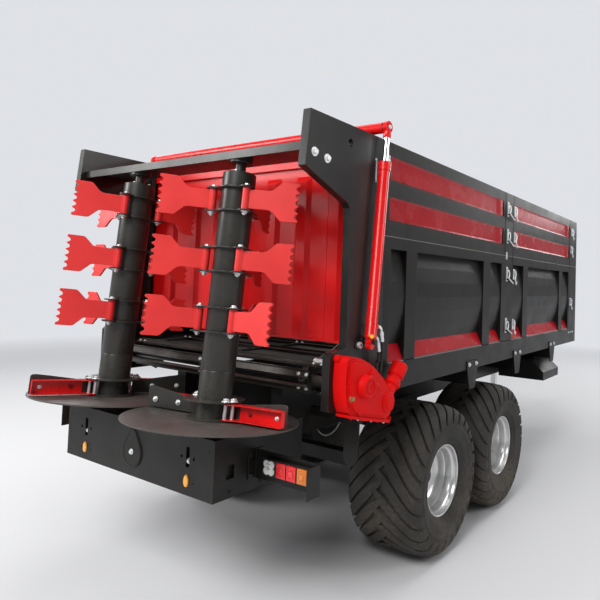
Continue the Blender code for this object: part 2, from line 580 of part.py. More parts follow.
way = Vector((0, LIFT_Y - PIN_Y, LIFT_Z - PIN_Z)).normalized()
for side_name, s in SIDES:
    pin = Vector((s * LIFT_X, PIN_Y, PIN_Z))
    eye = Vector((s * LIFT_X, LIFT_Y, LIFT_Z))
    barrel = tube(pin + way * 0.045, pin + way * BARREL_LEN, BARREL_R, ROD_R + 0.0006, 20)
    plug = rod(pin + way * 0.015, pin + way * 0.055, BARREL_R, 20)
    ring = rod(pin - Vector((0.016, 0, 0)), pin + Vector((0.016, 0, 0)), 0.026, 20)
    hole = rod(pin - Vector((0.05, 0, 0)), pin + Vector((0.05, 0, 0)), 0.012 + GAP, 16)
    port = rod(pin + way * 0.10 + Vector((0, ROD_R + 0.006, 0)), pin + way * 0.10 + Vector((0, 0.055, 0)), 0.014, 8)
    gland = tube(pin + way * (BARREL_LEN - 0.045), pin + way * (BARREL_LEN + 0.004), BARREL_R + 0.005,
                 ROD_R + 0.0006, 20)
    node(side_name + "_lift_barrel", RED, barrel, [plug, ring, port, gland], [hole], pivot=tuple(pin), roughness=0.3)
    stem = rod(pin + way * 0.075, eye - way * 0.026, ROD_R, 16)
    knob = rod(eye - Vector((0.014, 0, 0)), eye + Vector((0.014, 0, 0)), 0.034, 20)
    neck = rod(eye - way * 0.060, eye - way * 0.024, 0.022, 16)
    slot_r = LIFT_PIN_R + EYE_RUN
    slot = []
    for half in range(2):
        for k in range(7):
            a = math.pi / 6 * k + math.pi * half - math.pi / 2
            shift = EYE_PLAY * (1 if half == 0 else -1)
            slot.append((eye.y + shift + slot_r * math.cos(a), eye.z + slot_r * math.sin(a)))
    bore = prism(slot, "X", eye.x - 0.05, eye.x + 0.05)
    node(side_name + "_lift_rod", STEEL, stem, [knob, neck], [bore], pivot=tuple(eye), metallic=0.9)

# ---------------------------------------------------------------- scraper floor
def racetrack(r):
    pts = []
    for i in range(9):
        a = math.pi / 2 + math.pi * i / 8
        pts.append((SHAFT_Y + r * math.cos(a), SHAFT_Z + r * math.sin(a)))
    for i in range(9):
        a = -math.pi / 2 + math.pi * i / 8
        pts.append((FRONT_SHAFT_Y + r * math.cos(a), SHAFT_Z + r * math.sin(a)))
    return pts


def chain(x):
    belt = prism(racetrack(CHAIN_IN + CHAIN_T), "X", x - 0.018, x + 0.018)
    return belt


loop_adds = []
loop_len = FRONT_SHAFT_Y - SHAFT_Y
count = int(loop_len / SLAT_PITCH)
r0 = CHAIN_IN + 0.001
for i in range(count + 1):
    y = SHAFT_Y + 0.06 + i * (loop_len - 0.12) / count
    loop_adds.append(box(-SLAT_HALF, SLAT_HALF, y - 0.02, y + 0.02, SHAFT_Z + r0, SHAFT_Z + CHAIN_IN + SLAT_H))
    loop_adds.append(box(-SLAT_HALF, SLAT_HALF, y - 0.02, y + 0.02, SHAFT_Z - CHAIN_IN - SLAT_H, SHAFT_Z - r0))
for tilt in (150, 210):
    a = math.radians(tilt)
    mid = Vector((0, SHAFT_Y, SHAFT_Z))
    slat = box(-SLAT_HALF, SLAT_HALF, SHAFT_Y + r0, SHAFT_Y + CHAIN_IN + SLAT_H, SHAFT_Z - 0.02, SHAFT_Z + 0.02)
    loop_adds.append(spun(slat, a, mid, "X"))
loop_cuts = []
for x in CHAIN_X:
    loop_adds.append(prism(racetrack(CHAIN_IN + CHAIN_T), "X", x - 0.018, x + 0.018))
    loop_cuts.append(prism(racetrack(CHAIN_IN), "X", x - 0.03, x + 0.03))
node("scraper_floor", GREY, loop_adds[0], loop_adds[1:], loop_cuts, metallic=0.6)

for label, y in (("rear", SHAFT_Y), ("front", FRONT_SHAFT_Y)):
    end = INNER_X - GAP if label == "rear" else HALF_W - SILL_W - GAP
    shaft = rod((-end, y, SHAFT_Z), (end, y, SHAFT_Z), 0.025, 16)
    wheels = [rod((x - 0.012, y, SHAFT_Z), (x + 0.012, y, SHAFT_Z), CHAIN_IN - GAP, 16) for x in CHAIN_X]
    node(label + "_floor_shaft", GREY, shaft, wheels, metallic=0.6)

GEAR_X0 = HALF_W + GAP
GEAR_X1 = HALF_W + 0.095   # its cover plate
GEAR_REAR = SHAFT_Y - 0.080
INPUT_Y = 0.262            # small gear, driven by the motor
INPUT_Z = 1.062
gear_outline = [(GEAR_REAR + 0.012, 1.343), (-0.030, 1.343), (0.061, 1.316), (0.146, 1.275), (0.236, 1.208),
                (0.303, 1.152), (0.348, 1.110), (0.352, 1.058), (0.321, 1.008), (0.300, 0.968),
                (0.198, 0.990), (0.031, 1.030), (-0.055, 1.055), (-0.086, 1.110), (GEAR_REAR, 1.200),
                (GEAR_REAR + 0.004, 1.280)]
gearbox = prism(gear_outline, "X", GEAR_X0, GEAR_X1)


def bossed(y, z, r, x1, segs=20, x0=None):
    return rod((x0 or GEAR_X1 - 0.01, y, z), (x1, y, z), r, segs)


cover_outline = [(0.090 + (y - 0.090) * 0.86, 1.165 + (z - 1.165) * 0.84) for y, z in gear_outline]
gear_adds = [prism(cover_outline, "X", GEAR_X1 - 0.01, GEAR_X1 + 0.016),
             bossed(SHAFT_Y, SHAFT_Z, 0.056, GEAR_X1 + 0.035, 20),
             bossed(INPUT_Y, INPUT_Z, 0.062, GEAR_X1 + 0.018, 16), bossed(INPUT_Y, INPUT_Z, 0.034, GEAR_X1 + 0.034, 16),
             bossed(0.115, 1.150, 0.040, GEAR_X1 + 0.022, 14)]
for a in (-35, 20, 75, 130):
    rib = box(GEAR_X1 - 0.01, GEAR_X1 + 0.034, SHAFT_Y + 0.05, SHAFT_Y + 0.112, SHAFT_Z - 0.005, SHAFT_Z + 0.005)
    gear_adds.append(spun(rib, math.radians(a), (0, SHAFT_Y, SHAFT_Z), "X"))
# bottom flange and ears for its bolts
flange = prism([(0.322, 0.985), (0.300, 0.955), (0.031, 1.018), (-0.072, 1.046), (-0.072, 1.066),
                (0.031, 1.040), (0.300, 0.978)], "X", GEAR_X0, GEAR_X1 + 0.0185)
gear_adds.append(flange)
for y, z in ((GEAR_REAR + 0.019, 1.330), (0.325, 1.135), (GEAR_REAR + 0.022, 1.112)):
    gear_adds.append(rod((GEAR_X0, y, z), (GEAR_X1 + 0.010, y, z), 0.022, 12))
# hydraulic motor, leaning up and forward
MOTOR = Vector((GEAR_X0 + 0.065, INPUT_Y, INPUT_Z))
lean = Vector((0, 0.66, 0.75))
gear_adds.append(rod(MOTOR, MOTOR + lean * 0.185, 0.038, 16))
gear_adds.append(rod(MOTOR + lean * 0.120, MOTOR + lean * 0.150, 0.052, 16))
gear_adds.append(rod(MOTOR + lean * 0.175, MOTOR + lean * 0.260, 0.056, 8))
node("floor_gearbox", RED, gearbox, gear_adds, roughness=0.35)

# ---------------------------------------------------------------- beaters
def knife_outline():
    """Blade in the (along, height) plane: arm, flared end, five round notches."""
    reach = KNIFE_R - BUSH_R
    half_arm = RING_GAP / 2 - 0.008
    half_end = 0.101
    pts = [(0.0, -half_arm), (reach * 0.45, -half_arm), (reach * 0.68, -half_end), (reach - 0.004, -half_end)]
    teeth = 5
    pitch = 2 * half_end / (teeth + 0.6)
    z = -half_end + 0.3 * pitch
    for i in range(teeth):
        pts.append((reach, z))
        for k in (1, 2):
            a = math.pi * k / 3
            pts.append((reach - 0.018 * math.sin(a), z + pitch * (0.5 - 0.60 * math.cos(a))))
        z += pitch
    pts.append((reach, z))
    return pts + [(reach - 0.004, half_end), (reach * 0.68, half_end), (reach * 0.45, half_arm), (0.0, half_arm)]


def lobed_outline():
    """Flange plate with a round lobe at each knife bolt."""
    pts = []
    for k in range(KNIVES):
        mid = 2 * math.pi / KNIVES * k
        for t in (-75, -25, 25, 75):
            a = mid + math.radians(t)
            pts.append((BUSH_R * math.cos(mid) + 0.036 * math.cos(a), BUSH_R * math.sin(mid) + 0.036 * math.sin(a)))
        for part in (0.35, 0.65):
            waist = mid + 2 * math.pi / KNIVES * part
            pts.append(((DRUM_R + 0.024) * math.cos(waist), (DRUM_R + 0.024) * math.sin(waist)))
    return pts


KNIVES = 3
# first knife bolt and paddle, degrees from +X
BOLT = {"right": -143, "left": -64}
PADDLE = {"right": 11, "left": -107}
# knife swing on its bolt, degrees, by level and bolt
SWING = {"right": [(10, 21, 19), (12, 60, 19), (12, 60, 16)],
         "left": [(-58, 30, 6), (-58, 36, 4), (-58, 33, 6)]}
for side_name, s in SIDES:
    foot = Vector((s * BEATER_X, BEATER_Y, BEATER_Z))
    stand = bpy.data.objects.new(side_name + "_beater_axis", None)
    MAIN.objects.link(stand)
    stand.location = foot
    stand.rotation_euler = (-LEAN, 0, 0)
    drum_lo = DISC_T / 2 + GAP
    drum = rod((0, 0, drum_lo), (0, 0, DRUM_TOP), DRUM_R, DRUM_SEGS)
    neck = rod((0, 0, DRUM_TOP - 0.01), (0, 0, SHAFT_TOP), 0.028, 16)
    node(side_name + "_beater_drum", BLACK, drum, [neck], parent=stand)
    for level, z in enumerate(LEVELS, 1):
        parts = []
        for h in (-RING_GAP / 2 - RING_T, RING_GAP / 2):
            parts.append(spun(prism(lobed_outline(), "Z", z + h, z + h + RING_T),
                              math.radians(BOLT[side_name]), (0, 0, 0)))
        for k in range(KNIVES):
            beta = math.radians(BOLT[side_name] + 360 / KNIVES * k)
            c = Vector((BUSH_R * math.cos(beta), BUSH_R * math.sin(beta), z))
            parts.append(rod(c - Vector((0, 0, RING_GAP / 2 + 0.001)), c + Vector((0, 0, RING_GAP / 2 + 0.001)),
                             0.019, 8))
            blade = prism(knife_outline(), "Y", -0.006, 0.006)
            blade.data.transform(Matrix.Translation(c) @ Matrix.Rotation(
                beta + math.radians(SWING[side_name][level - 1][k]), 4, "Z"))
            parts.append(blade)
        clear = rod((0, 0, z - 0.2), (0, 0, z + 0.2), DRUM_R + GAP, DRUM_SEGS)
        node(f"{side_name}_knives_level_{level}", RED, parts[0], parts[1:], [clear], parent=stand,
             roughness=0.3)
    disc = rod((0, 0, -DISC_T / 2), (0, 0, DISC_T / 2), DISC_R, 40)
    hub = rod((0, 0, -0.026), (0, 0, 0), 0.10, 20)
    node(side_name + "_spreading_disc", GREY, disc, [hub], parent=stand, metallic=0.5)
    seat = DISC_T / 2 + GAP
    parts = []
    for lo, hi in ((seat, seat + 0.008), (seat + PADDLE_H - 0.008, seat + PADDLE_H)):
        parts.append(turned([(lo, DRUM_R + GAP), (lo, HUB_RING), (hi, HUB_RING), (hi, DRUM_R + GAP)],
                            "Z", (0, 0, 0), DRUM_SEGS))
    for k in range(2):
        face = -s                # the channel opens to the side that leads
        inner = DRUM_R + 0.021
        y0, y1 = sorted((0.0, face * 0.006))
        c0, c1 = sorted((face * 0.003, face * 0.045))
        pieces = [box(inner, PADDLE_R, y0, y1, seat, seat + PADDLE_H),
                  box(inner + 0.04, PADDLE_R - 0.004, c0, c1, seat + 0.004, seat + 0.010),
                  box(inner + 0.04, PADDLE_R - 0.004, c0, c1, seat + PADDLE_H - 0.018, seat + PADDLE_H - 0.012),
                  rod((inner, face * 0.012, seat + 0.004), (inner, face * 0.012, seat + PADDLE_H - 0.004), 0.017, 10)]
        for piece in pieces:
            piece.data.transform(Matrix.Rotation(math.radians(180 * k + PADDLE[side_name]), 4, "Z"))
            parts.append(piece)
    node(side_name + "_disc_paddles", RED, parts[0], parts[1:], parent=stand, roughness=0.3)

# ---------------------------------------------------------------- small parts below
TOOLBOX_Y0 = CROSS_Y[2] - 0.260
TOOLBOX_Y1 = CROSS_Y[2] + 0.270
box_outline = [(0.50, 0.784), (HALF_W, 0.784), (HALF_W, 0.865), (HALF_W - 0.120, 0.975), (0.50, 0.975)]
node("toolbox", BLACK, prism(box_outline, "Y", TOOLBOX_Y0, TOOLBOX_Y1),
     [box(0.55, 0.80, CROSS_Y[2] - 0.04, CROSS_Y[2] + 0.04, 0.97, 0.99 - GAP)])

node("driveline", STEEL, rod((0, BOX_FRONT + GAP, 0.86), (0, BODY_LEN + 0.10, 0.86), 0.030, 16),
     [rod((0, BODY_LEN + 0.09, 0.86), (0, BODY_LEN + 0.20, 0.86), 0.0175, 12)], metallic=0.7)

# ---------------------------------------------------------------- origin
REAR_MOST = BEATER_Y - DISC_R * math.cos(LEAN) - DISC_T / 2 * math.sin(LEAN)
FRONT_MOST = EYE_Y + EYE_R
ORIGIN_Y = (REAR_MOST + FRONT_MOST) / 2
for obj in MAIN.objects:
    if obj.parent is None:
        obj.location.y -= ORIGIN_Y
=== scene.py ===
import bmesh
import bpy
from math import cos, pi, radians, sin, sqrt, tau
from mathutils import Matrix, Vector


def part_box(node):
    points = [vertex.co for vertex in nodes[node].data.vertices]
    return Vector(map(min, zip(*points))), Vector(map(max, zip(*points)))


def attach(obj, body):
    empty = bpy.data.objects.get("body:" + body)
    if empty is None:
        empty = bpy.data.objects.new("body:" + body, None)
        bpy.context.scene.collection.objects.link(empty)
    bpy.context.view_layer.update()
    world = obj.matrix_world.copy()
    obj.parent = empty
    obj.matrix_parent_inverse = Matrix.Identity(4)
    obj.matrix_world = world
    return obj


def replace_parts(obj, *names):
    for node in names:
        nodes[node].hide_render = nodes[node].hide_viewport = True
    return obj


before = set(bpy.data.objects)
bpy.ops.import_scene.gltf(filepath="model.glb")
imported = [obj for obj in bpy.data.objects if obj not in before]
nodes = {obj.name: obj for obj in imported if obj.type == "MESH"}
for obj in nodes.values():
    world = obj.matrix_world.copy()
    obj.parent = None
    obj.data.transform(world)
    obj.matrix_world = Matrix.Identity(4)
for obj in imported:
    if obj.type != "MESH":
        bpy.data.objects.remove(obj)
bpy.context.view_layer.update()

# Camera: stands behind the right rear corner, a little higher than the beaters' middle,
# and looks along the body at the height of a person's eyes.
EYE = Vector((2.655, -5.0129, 1.71))
YAW, PITCH, ROLL = radians(32.97), radians(2.42), radians(1.917)
ahead = Vector((-sin(YAW) * cos(PITCH), cos(YAW) * cos(PITCH), sin(PITCH)))
level = Vector((cos(YAW), sin(YAW), 0.0))
upright = level.cross(ahead)
right = level * cos(ROLL) + upright * sin(ROLL)
above = upright * cos(ROLL) - level * sin(ROLL)
lens = bpy.data.cameras.new("view_from_behind")
lens.lens = 33.65
lens.shift_x = -0.134
lens.shift_y = -0.068
camera = bpy.data.objects.new("view_from_behind", lens)
camera.matrix_world = Matrix.Translation(EYE) @ Matrix((right, above, -ahead)).transposed().to_4x4()
bpy.context.scene.collection.objects.link(camera)
bpy.context.scene.camera = camera

# Chassis, drawbar, axles and bogie springs: welded box steel and spring steel, sprayed
# with one coat of satin black and lightly dusted from the road underneath.
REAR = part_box("right_rear_plate")[1].y - 0.33      # upright rear edge of the side plates
HUB_Z = 0.4684577
FACE_X = 0.97      # outer face of the side plates, boards and sills
AXLE_Y = (REAR + 0.985, REAR + 1.985)
BLACK = (0.0068, 0.0062, 0.0054)
DUST = (0.115, 0.098, 0.08)
SIDES = (("right", 1), ("left", -1))
UP = Vector((0, 0, 1))
moved = Matrix.Translation


def spun(degrees, axis):
    """A turn about one of the three axes."""
    return Matrix.Rotation(radians(degrees), 4, axis)


def at(side, x, y, z):
    """A place on one side of the machine; y counts from the side plates' upright edge."""
    return Vector((side * x, REAR + y, z))


def sums(tree, kind, a, b=None, c=None, clamp=False):
    """A Math node on sockets or plain numbers; gives back its result."""
    node = tree.nodes.new("ShaderNodeMath")
    node.operation = kind
    node.use_clamp = clamp
    for place, value in enumerate((a, b, c)):
        if isinstance(value, (int, float)):
            node.inputs[place].default_value = value
        elif value is not None:
            tree.links.new(value, node.inputs[place])
    return node.outputs[0]


def times(tree, first, *others):
    """Multiplies sockets and plain numbers."""
    for value in others:
        first = sums(tree, "MULTIPLY", first, value)
    return first


def spread(tree, value, lo, hi, to_lo=0.0, to_hi=1.0):
    """A Map Range node; gives back its result."""
    node = tree.nodes.new("ShaderNodeMapRange")
    for socket, number in zip(node.inputs[1:5], (lo, hi, to_lo, to_hi)):
        socket.default_value = number
    tree.links.new(value, node.inputs["Value"])
    return node.outputs[0]


def noise(tree, place, scale, detail=4.0, rough=0.55):
    """A Noise Texture on the given place; gives back its value."""
    node = tree.nodes.new("ShaderNodeTexNoise")
    for label, number in (("Scale", scale), ("Detail", detail), ("Roughness", rough)):
        node.inputs[label].default_value = number
    tree.links.new(place, node.inputs["Vector"])
    return node.outputs[0]


def parts_of(tree, vector):
    """The X, Y and Z of a vector."""
    node = tree.nodes.new("ShaderNodeSeparateXYZ")
    tree.links.new(vector, node.inputs[0])
    return node.outputs


def blend_colours(tree, share, a, b):
    """A Mix node between two colours; each is a socket or plain numbers."""
    node = tree.nodes.new("ShaderNodeMix")
    node.data_type = "RGBA"
    tree.links.new(share, node.inputs[0])
    for place, value in ((6, a), (7, b)):
        if isinstance(value, tuple):
            node.inputs[place].default_value = value + (1.0,)
        else:
            tree.links.new(value, node.inputs[place])
    return node.outputs[2]


# The coat that every paint shares: where dust lies, a slow change of tone, a mask of the edges
# for their painted highlight and rubbed wear, and the orange peel of a sprayed skin.
surface = bpy.data.node_groups.new("sprayed_surface", "ShaderNodeTree")
for label, value in (("Dust", 0.3), ("Dust Top", 1.2), ("Peel", 0.2)):
    surface.interface.new_socket(name=label, in_out="INPUT",
            socket_type="NodeSocketFloat").default_value = value
for label, kind in (("Dust", "Float"), ("Tone", "Float"), ("Edge", "Float"), ("Normal", "Vector")):
    surface.interface.new_socket(name=label, in_out="OUTPUT", socket_type="NodeSocket" + kind)
given = surface.nodes.new("NodeGroupInput").outputs
out = surface.nodes.new("NodeGroupOutput").inputs
place = surface.nodes.new("ShaderNodeTexCoord").outputs["Object"]
round_edge = surface.nodes.new("ShaderNodeBevel")
round_edge.samples = 4
round_edge.inputs["Radius"].default_value = 0.003
flat_way = surface.nodes.new("ShaderNodeNewGeometry").outputs["Normal"]
likeness = surface.nodes.new("ShaderNodeVectorMath")
likeness.operation = "DOT_PRODUCT"
surface.links.new(round_edge.outputs[0], likeness.inputs[0])
surface.links.new(flat_way, likeness.inputs[1])
edge = spread(surface, likeness.outputs["Value"], 0.99, 0.9)
patches = noise(surface, place, 2.3, 7.0, 0.62)
specks = noise(surface, place, 55.0, 5.0, 0.7)
height = sums(surface, "DIVIDE", parts_of(surface, place)["Z"], given["Dust Top"])
low = sums(surface, "SUBTRACT", 1.0, height, clamp=True)
lying = times(surface, sums(surface, "MAXIMUM", parts_of(surface, flat_way)["Z"], 0.0), 0.45)
settled = sums(surface, "ADD", sums(surface, "ADD", low, lying), 0.12)
mottled = times(surface, spread(surface, patches, 0.35, 0.68), spread(surface, specks, 0.3, 0.62))
surface.links.new(sums(surface, "MULTIPLY", times(surface, settled, mottled), given["Dust"],
                       clamp=True), out["Dust"])
surface.links.new(noise(surface, place, 5.5, 3.0), out["Tone"])
surface.links.new(times(surface, edge, spread(surface, specks, 0.42, 0.6)), out["Edge"])
skin = surface.nodes.new("ShaderNodeBump")
skin.inputs["Distance"].default_value = 0.0012
surface.links.new(given["Peel"], skin.inputs["Strength"])
surface.links.new(sums(surface, "ADD", noise(surface, place, 210.0, 2.0),
                       times(surface, noise(surface, place, 6.0, 2.0), 2.0)), skin.inputs["Height"])
surface.links.new(round_edge.outputs[0], skin.inputs["Normal"])
surface.links.new(skin.outputs[0], out["Normal"])


def paint(name, colour, rough, metal=0.0, coat=0.0, dust=0.3, dust_top=1.2, peel=0.12, edge_highlight_and_wear=None,
          shine=0.35):
    """A sprayed or plated finish on the shared surface, with a colour along its edges: a painted highlight on
    the paints, rubbed wear on the oiled steel.
    """
    finish = bpy.data.materials.new(name)
    finish.use_nodes = True
    tree = finish.node_tree
    shader = tree.nodes["Principled BSDF"].inputs
    coating = tree.nodes.new("ShaderNodeGroup")
    coating.node_tree = surface
    for label, value in (("Dust", dust), ("Dust Top", dust_top), ("Peel", peel)):
        coating.inputs[label].default_value = value
    tone, dusty = coating.outputs["Tone"], coating.outputs["Dust"]
    base = blend_colours(tree, tone, tuple(0.8 * c for c in colour),
                         tuple(min(1.0, 1.18 * c) for c in colour))
    # Lighter colour along the edges: painted highlight on the paints, rubbed wear on the oiled steel.
    if edge_highlight_and_wear:
        base = blend_colours(tree, times(tree, coating.outputs["Edge"], 0.55), base, edge_highlight_and_wear)
    tree.links.new(blend_colours(tree, dusty, base, DUST), shader["Base Color"])
    gloss = spread(tree, tone, 0.25, 0.75, rough * 0.82, rough * 1.2)
    tree.links.new(sums(tree, "ADD", gloss, times(tree, dusty, 0.4), clamp=True),
                   shader["Roughness"])
    tree.links.new(coating.outputs["Normal"], shader["Normal"])
    for label, value in (("Metallic", metal), ("Specular IOR Level", shine), ("Coat Weight", coat),
                         ("Coat Roughness", 0.12)):
        shader[label].default_value = value
    return finish


def refinish(finish, *names):
    """Puts a finish on CAD nodes, in every slot they have."""
    for name in names:
        mesh = nodes[name].data
        if not mesh.materials:
            mesh.materials.append(finish)
        for slot in nodes[name].material_slots:
            slot.material = finish


def finished(name, shape, finishes, body, smooth=30, round_off=0.0):
    """Makes a piece of a bmesh, in the given finishes, riding on a body."""
    bmesh.ops.recalc_face_normals(shape, faces=shape.faces)
    mesh = bpy.data.meshes.new(name)
    shape.to_mesh(mesh)
    shape.free()
    for finish in finishes:
        mesh.materials.append(finish)
    mesh.shade_smooth()
    mesh.set_sharp_from_angle(angle=radians(smooth))
    piece = bpy.data.objects.new(name, mesh)
    bpy.context.scene.collection.objects.link(piece)
    if round_off:
        edges = piece.modifiers.new("rounded_edges", "BEVEL")
        edges.width = round_off
        edges.segments = 2
        edges.limit_method = "ANGLE"
        edges.angle_limit = radians(40)
        edges.harden_normals = True
    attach(piece, body)
    return piece


def turned(shape, profile, axis, steps, finish=0):
    """Turns a profile of (along, radius) points round the Z of a matrix, and welds it."""
    before = set(shape.faces)
    ring = [shape.verts.new(axis @ Vector((r, 0.0, u))) for u, r in profile]
    edges = [shape.edges.new(pair) for pair in zip(ring, ring[1:])]
    bmesh.ops.spin(shape, geom=ring + edges, cent=axis.translation, axis=axis.to_3x3() @ UP,
                   steps=steps, angle=tau, use_merge=True)
    for face in set(shape.faces) - before:
        face.material_index = finish
    bmesh.ops.remove_doubles(shape, verts=shape.verts, dist=1e-5)


def along(start, direction):
    """A matrix with its origin at start and its Z along the direction."""
    return moved(start) @ Vector(direction).to_track_quat("Z", "Y").to_matrix().to_4x4()


def coloured(verts, finish):
    """Gives the faces at these corners a finish."""
    for face in {f for v in verts for f in v.link_faces}:
        face.material_index = finish


def bar(shape, start, end, radius, steps=16, finish=0):
    """A round bar between two points."""
    start, end = Vector(start), Vector(end)
    span = end - start
    made = bmesh.ops.create_cone(shape, cap_ends=True, segments=steps, radius1=radius,
            radius2=radius, depth=span.length, matrix=along((start + end) / 2, span))
    coloured(made["verts"], finish)


def round_bars(shape, points, radius, steps, finish=0):
    """Bars from point to point and back to the first."""
    for start, end in zip(points, points[1:] + points[:1]):
        bar(shape, start, end, radius, steps, finish)


def block(shape, lo, hi, finish=0, turn=None):
    """A square block between two corners."""
    lo, hi = Vector(lo), Vector(hi)
    place = moved((lo + hi) / 2) @ Matrix.Diagonal((*(hi - lo), 1.0))
    made = bmesh.ops.create_cube(shape, size=1.0, matrix=(turn @ place) if turn else place)
    coloured(made["verts"], finish)


def bolt(shape, seat, direction, across=0.02, finish=0, tail=0.0):
    """A hexagon head on its washer, with the thread's end past it where tail is given."""
    seat, out_way = Vector(seat), Vector(direction).normalized()
    washer_r, head_r, thread_r, head = (across * share for share in (0.86, 0.577, 0.3, 0.42))
    for lo, hi, radius, steps in ((-0.001, 0.003, washer_r, 18), (0.003, 0.003 + head, head_r, 6),
            (0.0, 0.0045 + head + tail, thread_r, 12)):
        bar(shape, seat + out_way * lo, seat + out_way * hi, radius, steps, finish)


# The lighter grey along the satin black's edges is a painted highlight.
satin_black = paint("satin_black", BLACK, 0.44, coat=0.02, dust=0.2, peel=0.1,
                    edge_highlight_and_wear=(0.04, 0.04, 0.04), shine=0.25)
zinc = paint("bright_zinc", (0.76, 0.77, 0.77), 0.34, metal=0.65, dust=0.04, peel=0.06, shine=0.5)
refinish(satin_black, "chassis_frame", "drawbar", "front_axle", "rear_axle", "right_bogie_spring",
         "left_bogie_spring")

# Bolts that hold the chassis straps to the sills: two plated bolts through each strap, three
# small ones at the sill's front end, and the pairs at the spring seats of both axles.
STRAPS_Y, STRAP_X, STRAP_Z = (1.58, 2.56, 3.63), 0.978, 1.135
SEAT_X, SEAT_Z = 0.42, HUB_Z + 0.085
SILL_END_Y, SILL_END_Z = (4.3, 4.38, 4.46), 1.215
fasteners = bmesh.new()
for side in (-1, 1):
    for y in STRAPS_Y:
        for step in (-0.062, 0.062):
            bolt(fasteners, at(side, STRAP_X, y + step, STRAP_Z), (side, 0, 0), 0.019)
    for y in AXLE_Y:
        for step in (-0.075, 0.075):
            bolt(fasteners, (side * SEAT_X, y + step, SEAT_Z), UP, 0.024, tail=0.01)
    for y in SILL_END_Y:
        bolt(fasteners, at(side, FACE_X, y, SILL_END_Z), (side, 0, 0), 0.014)
finished("chassis_bolts", fasteners, [zinc], "spreader", 38)

# Tyres: wide flotation tyres of black rubber with long chevron bars, moulded in one piece
# and seated on the rims. The bars run down on to the side walls, dusty from the yard.
TRACK_X = 0.85
BARS = 26
CROWN = [(-0.03, 0.468), (0.0, 0.468), (0.045, 0.4676), (0.1, 0.4655), (0.15, 0.461),
         (0.19, 0.453), (0.218, 0.44), (0.236, 0.418), (0.2455, 0.39), (0.248, 0.364)]
ROOT = [(-0.03, 0.447), (0.0, 0.447), (0.045, 0.4468), (0.1, 0.445), (0.15, 0.441), (0.186, 0.434),
        (0.21, 0.422), (0.225, 0.404), (0.235, 0.385), (0.244, 0.356)]
SWEEP = [-3.0, 0.0, 5.0, 12.0, 19.0, 25.0, 29.5, 33.0, 35.5, 37.0]
HALF_BAR = [2.2, 2.9, 4.6, 5.3, 5.5, 5.5, 5.4, 5.2, 4.9, 4.4]
WALL = [(0.244, 0.356), (0.2455, 0.345), (0.249, 0.338), (0.249, 0.332), (0.2455, 0.326),
        (0.243, 0.3), (0.233, 0.266), (0.228, 0.262), (0.218, 0.24), (0.206, 0.2245),
        (0.188, 0.2168)]

RIM = [(0.2045, 0.2205), (0.2045, 0.215), (0.2, 0.2112), (0.18, 0.2078), (0.174, 0.203),
       (0.169, 0.195), (0.164, 0.1925), (0.124, 0.1895), (0.118, 0.185), (0.113, 0.1822),
       (0.08, 0.1805), (0.072, 0.177), (0.064, 0.17), (0.056, 0.15), (0.05, 0.132), (0.044, 0.122),
       (0.044, 0.06), (0.034, 0.06), (0.034, 0.124), (0.046, 0.154), (0.056, 0.176),
       (0.066, 0.188), (0.11, 0.19), (0.13, 0.196), (0.02, 0.196), (-0.15, 0.201),
       (-0.198, 0.2085), (-0.2045, 0.215), (-0.2045, 0.2205), (-0.196, 0.2185), (-0.187, 0.216),
       (0.187, 0.216), (0.196, 0.2185)]
CAP = [(-0.055, 0.0), (-0.055, 0.066), (0.05, 0.066), (0.056, 0.06), (0.08, 0.056), (0.09, 0.048),
       (0.0945, 0.04), (0.0945, 0.0)]
NUTS, NUTS_R, VALVE_R, VALVE_AT = 8, 0.093, 0.186, radians(214)

rubber = paint("tyre_rubber", (0.0185, 0.0172, 0.0155), 0.66, dust=1.15, dust_top=0.85, peel=0.35)
rim_paint = paint("rim_silver", (0.7, 0.7, 0.69), 0.3, metal=0.8, dust=0.1, dust_top=0.9,
                  peel=0.05, shine=0.5)

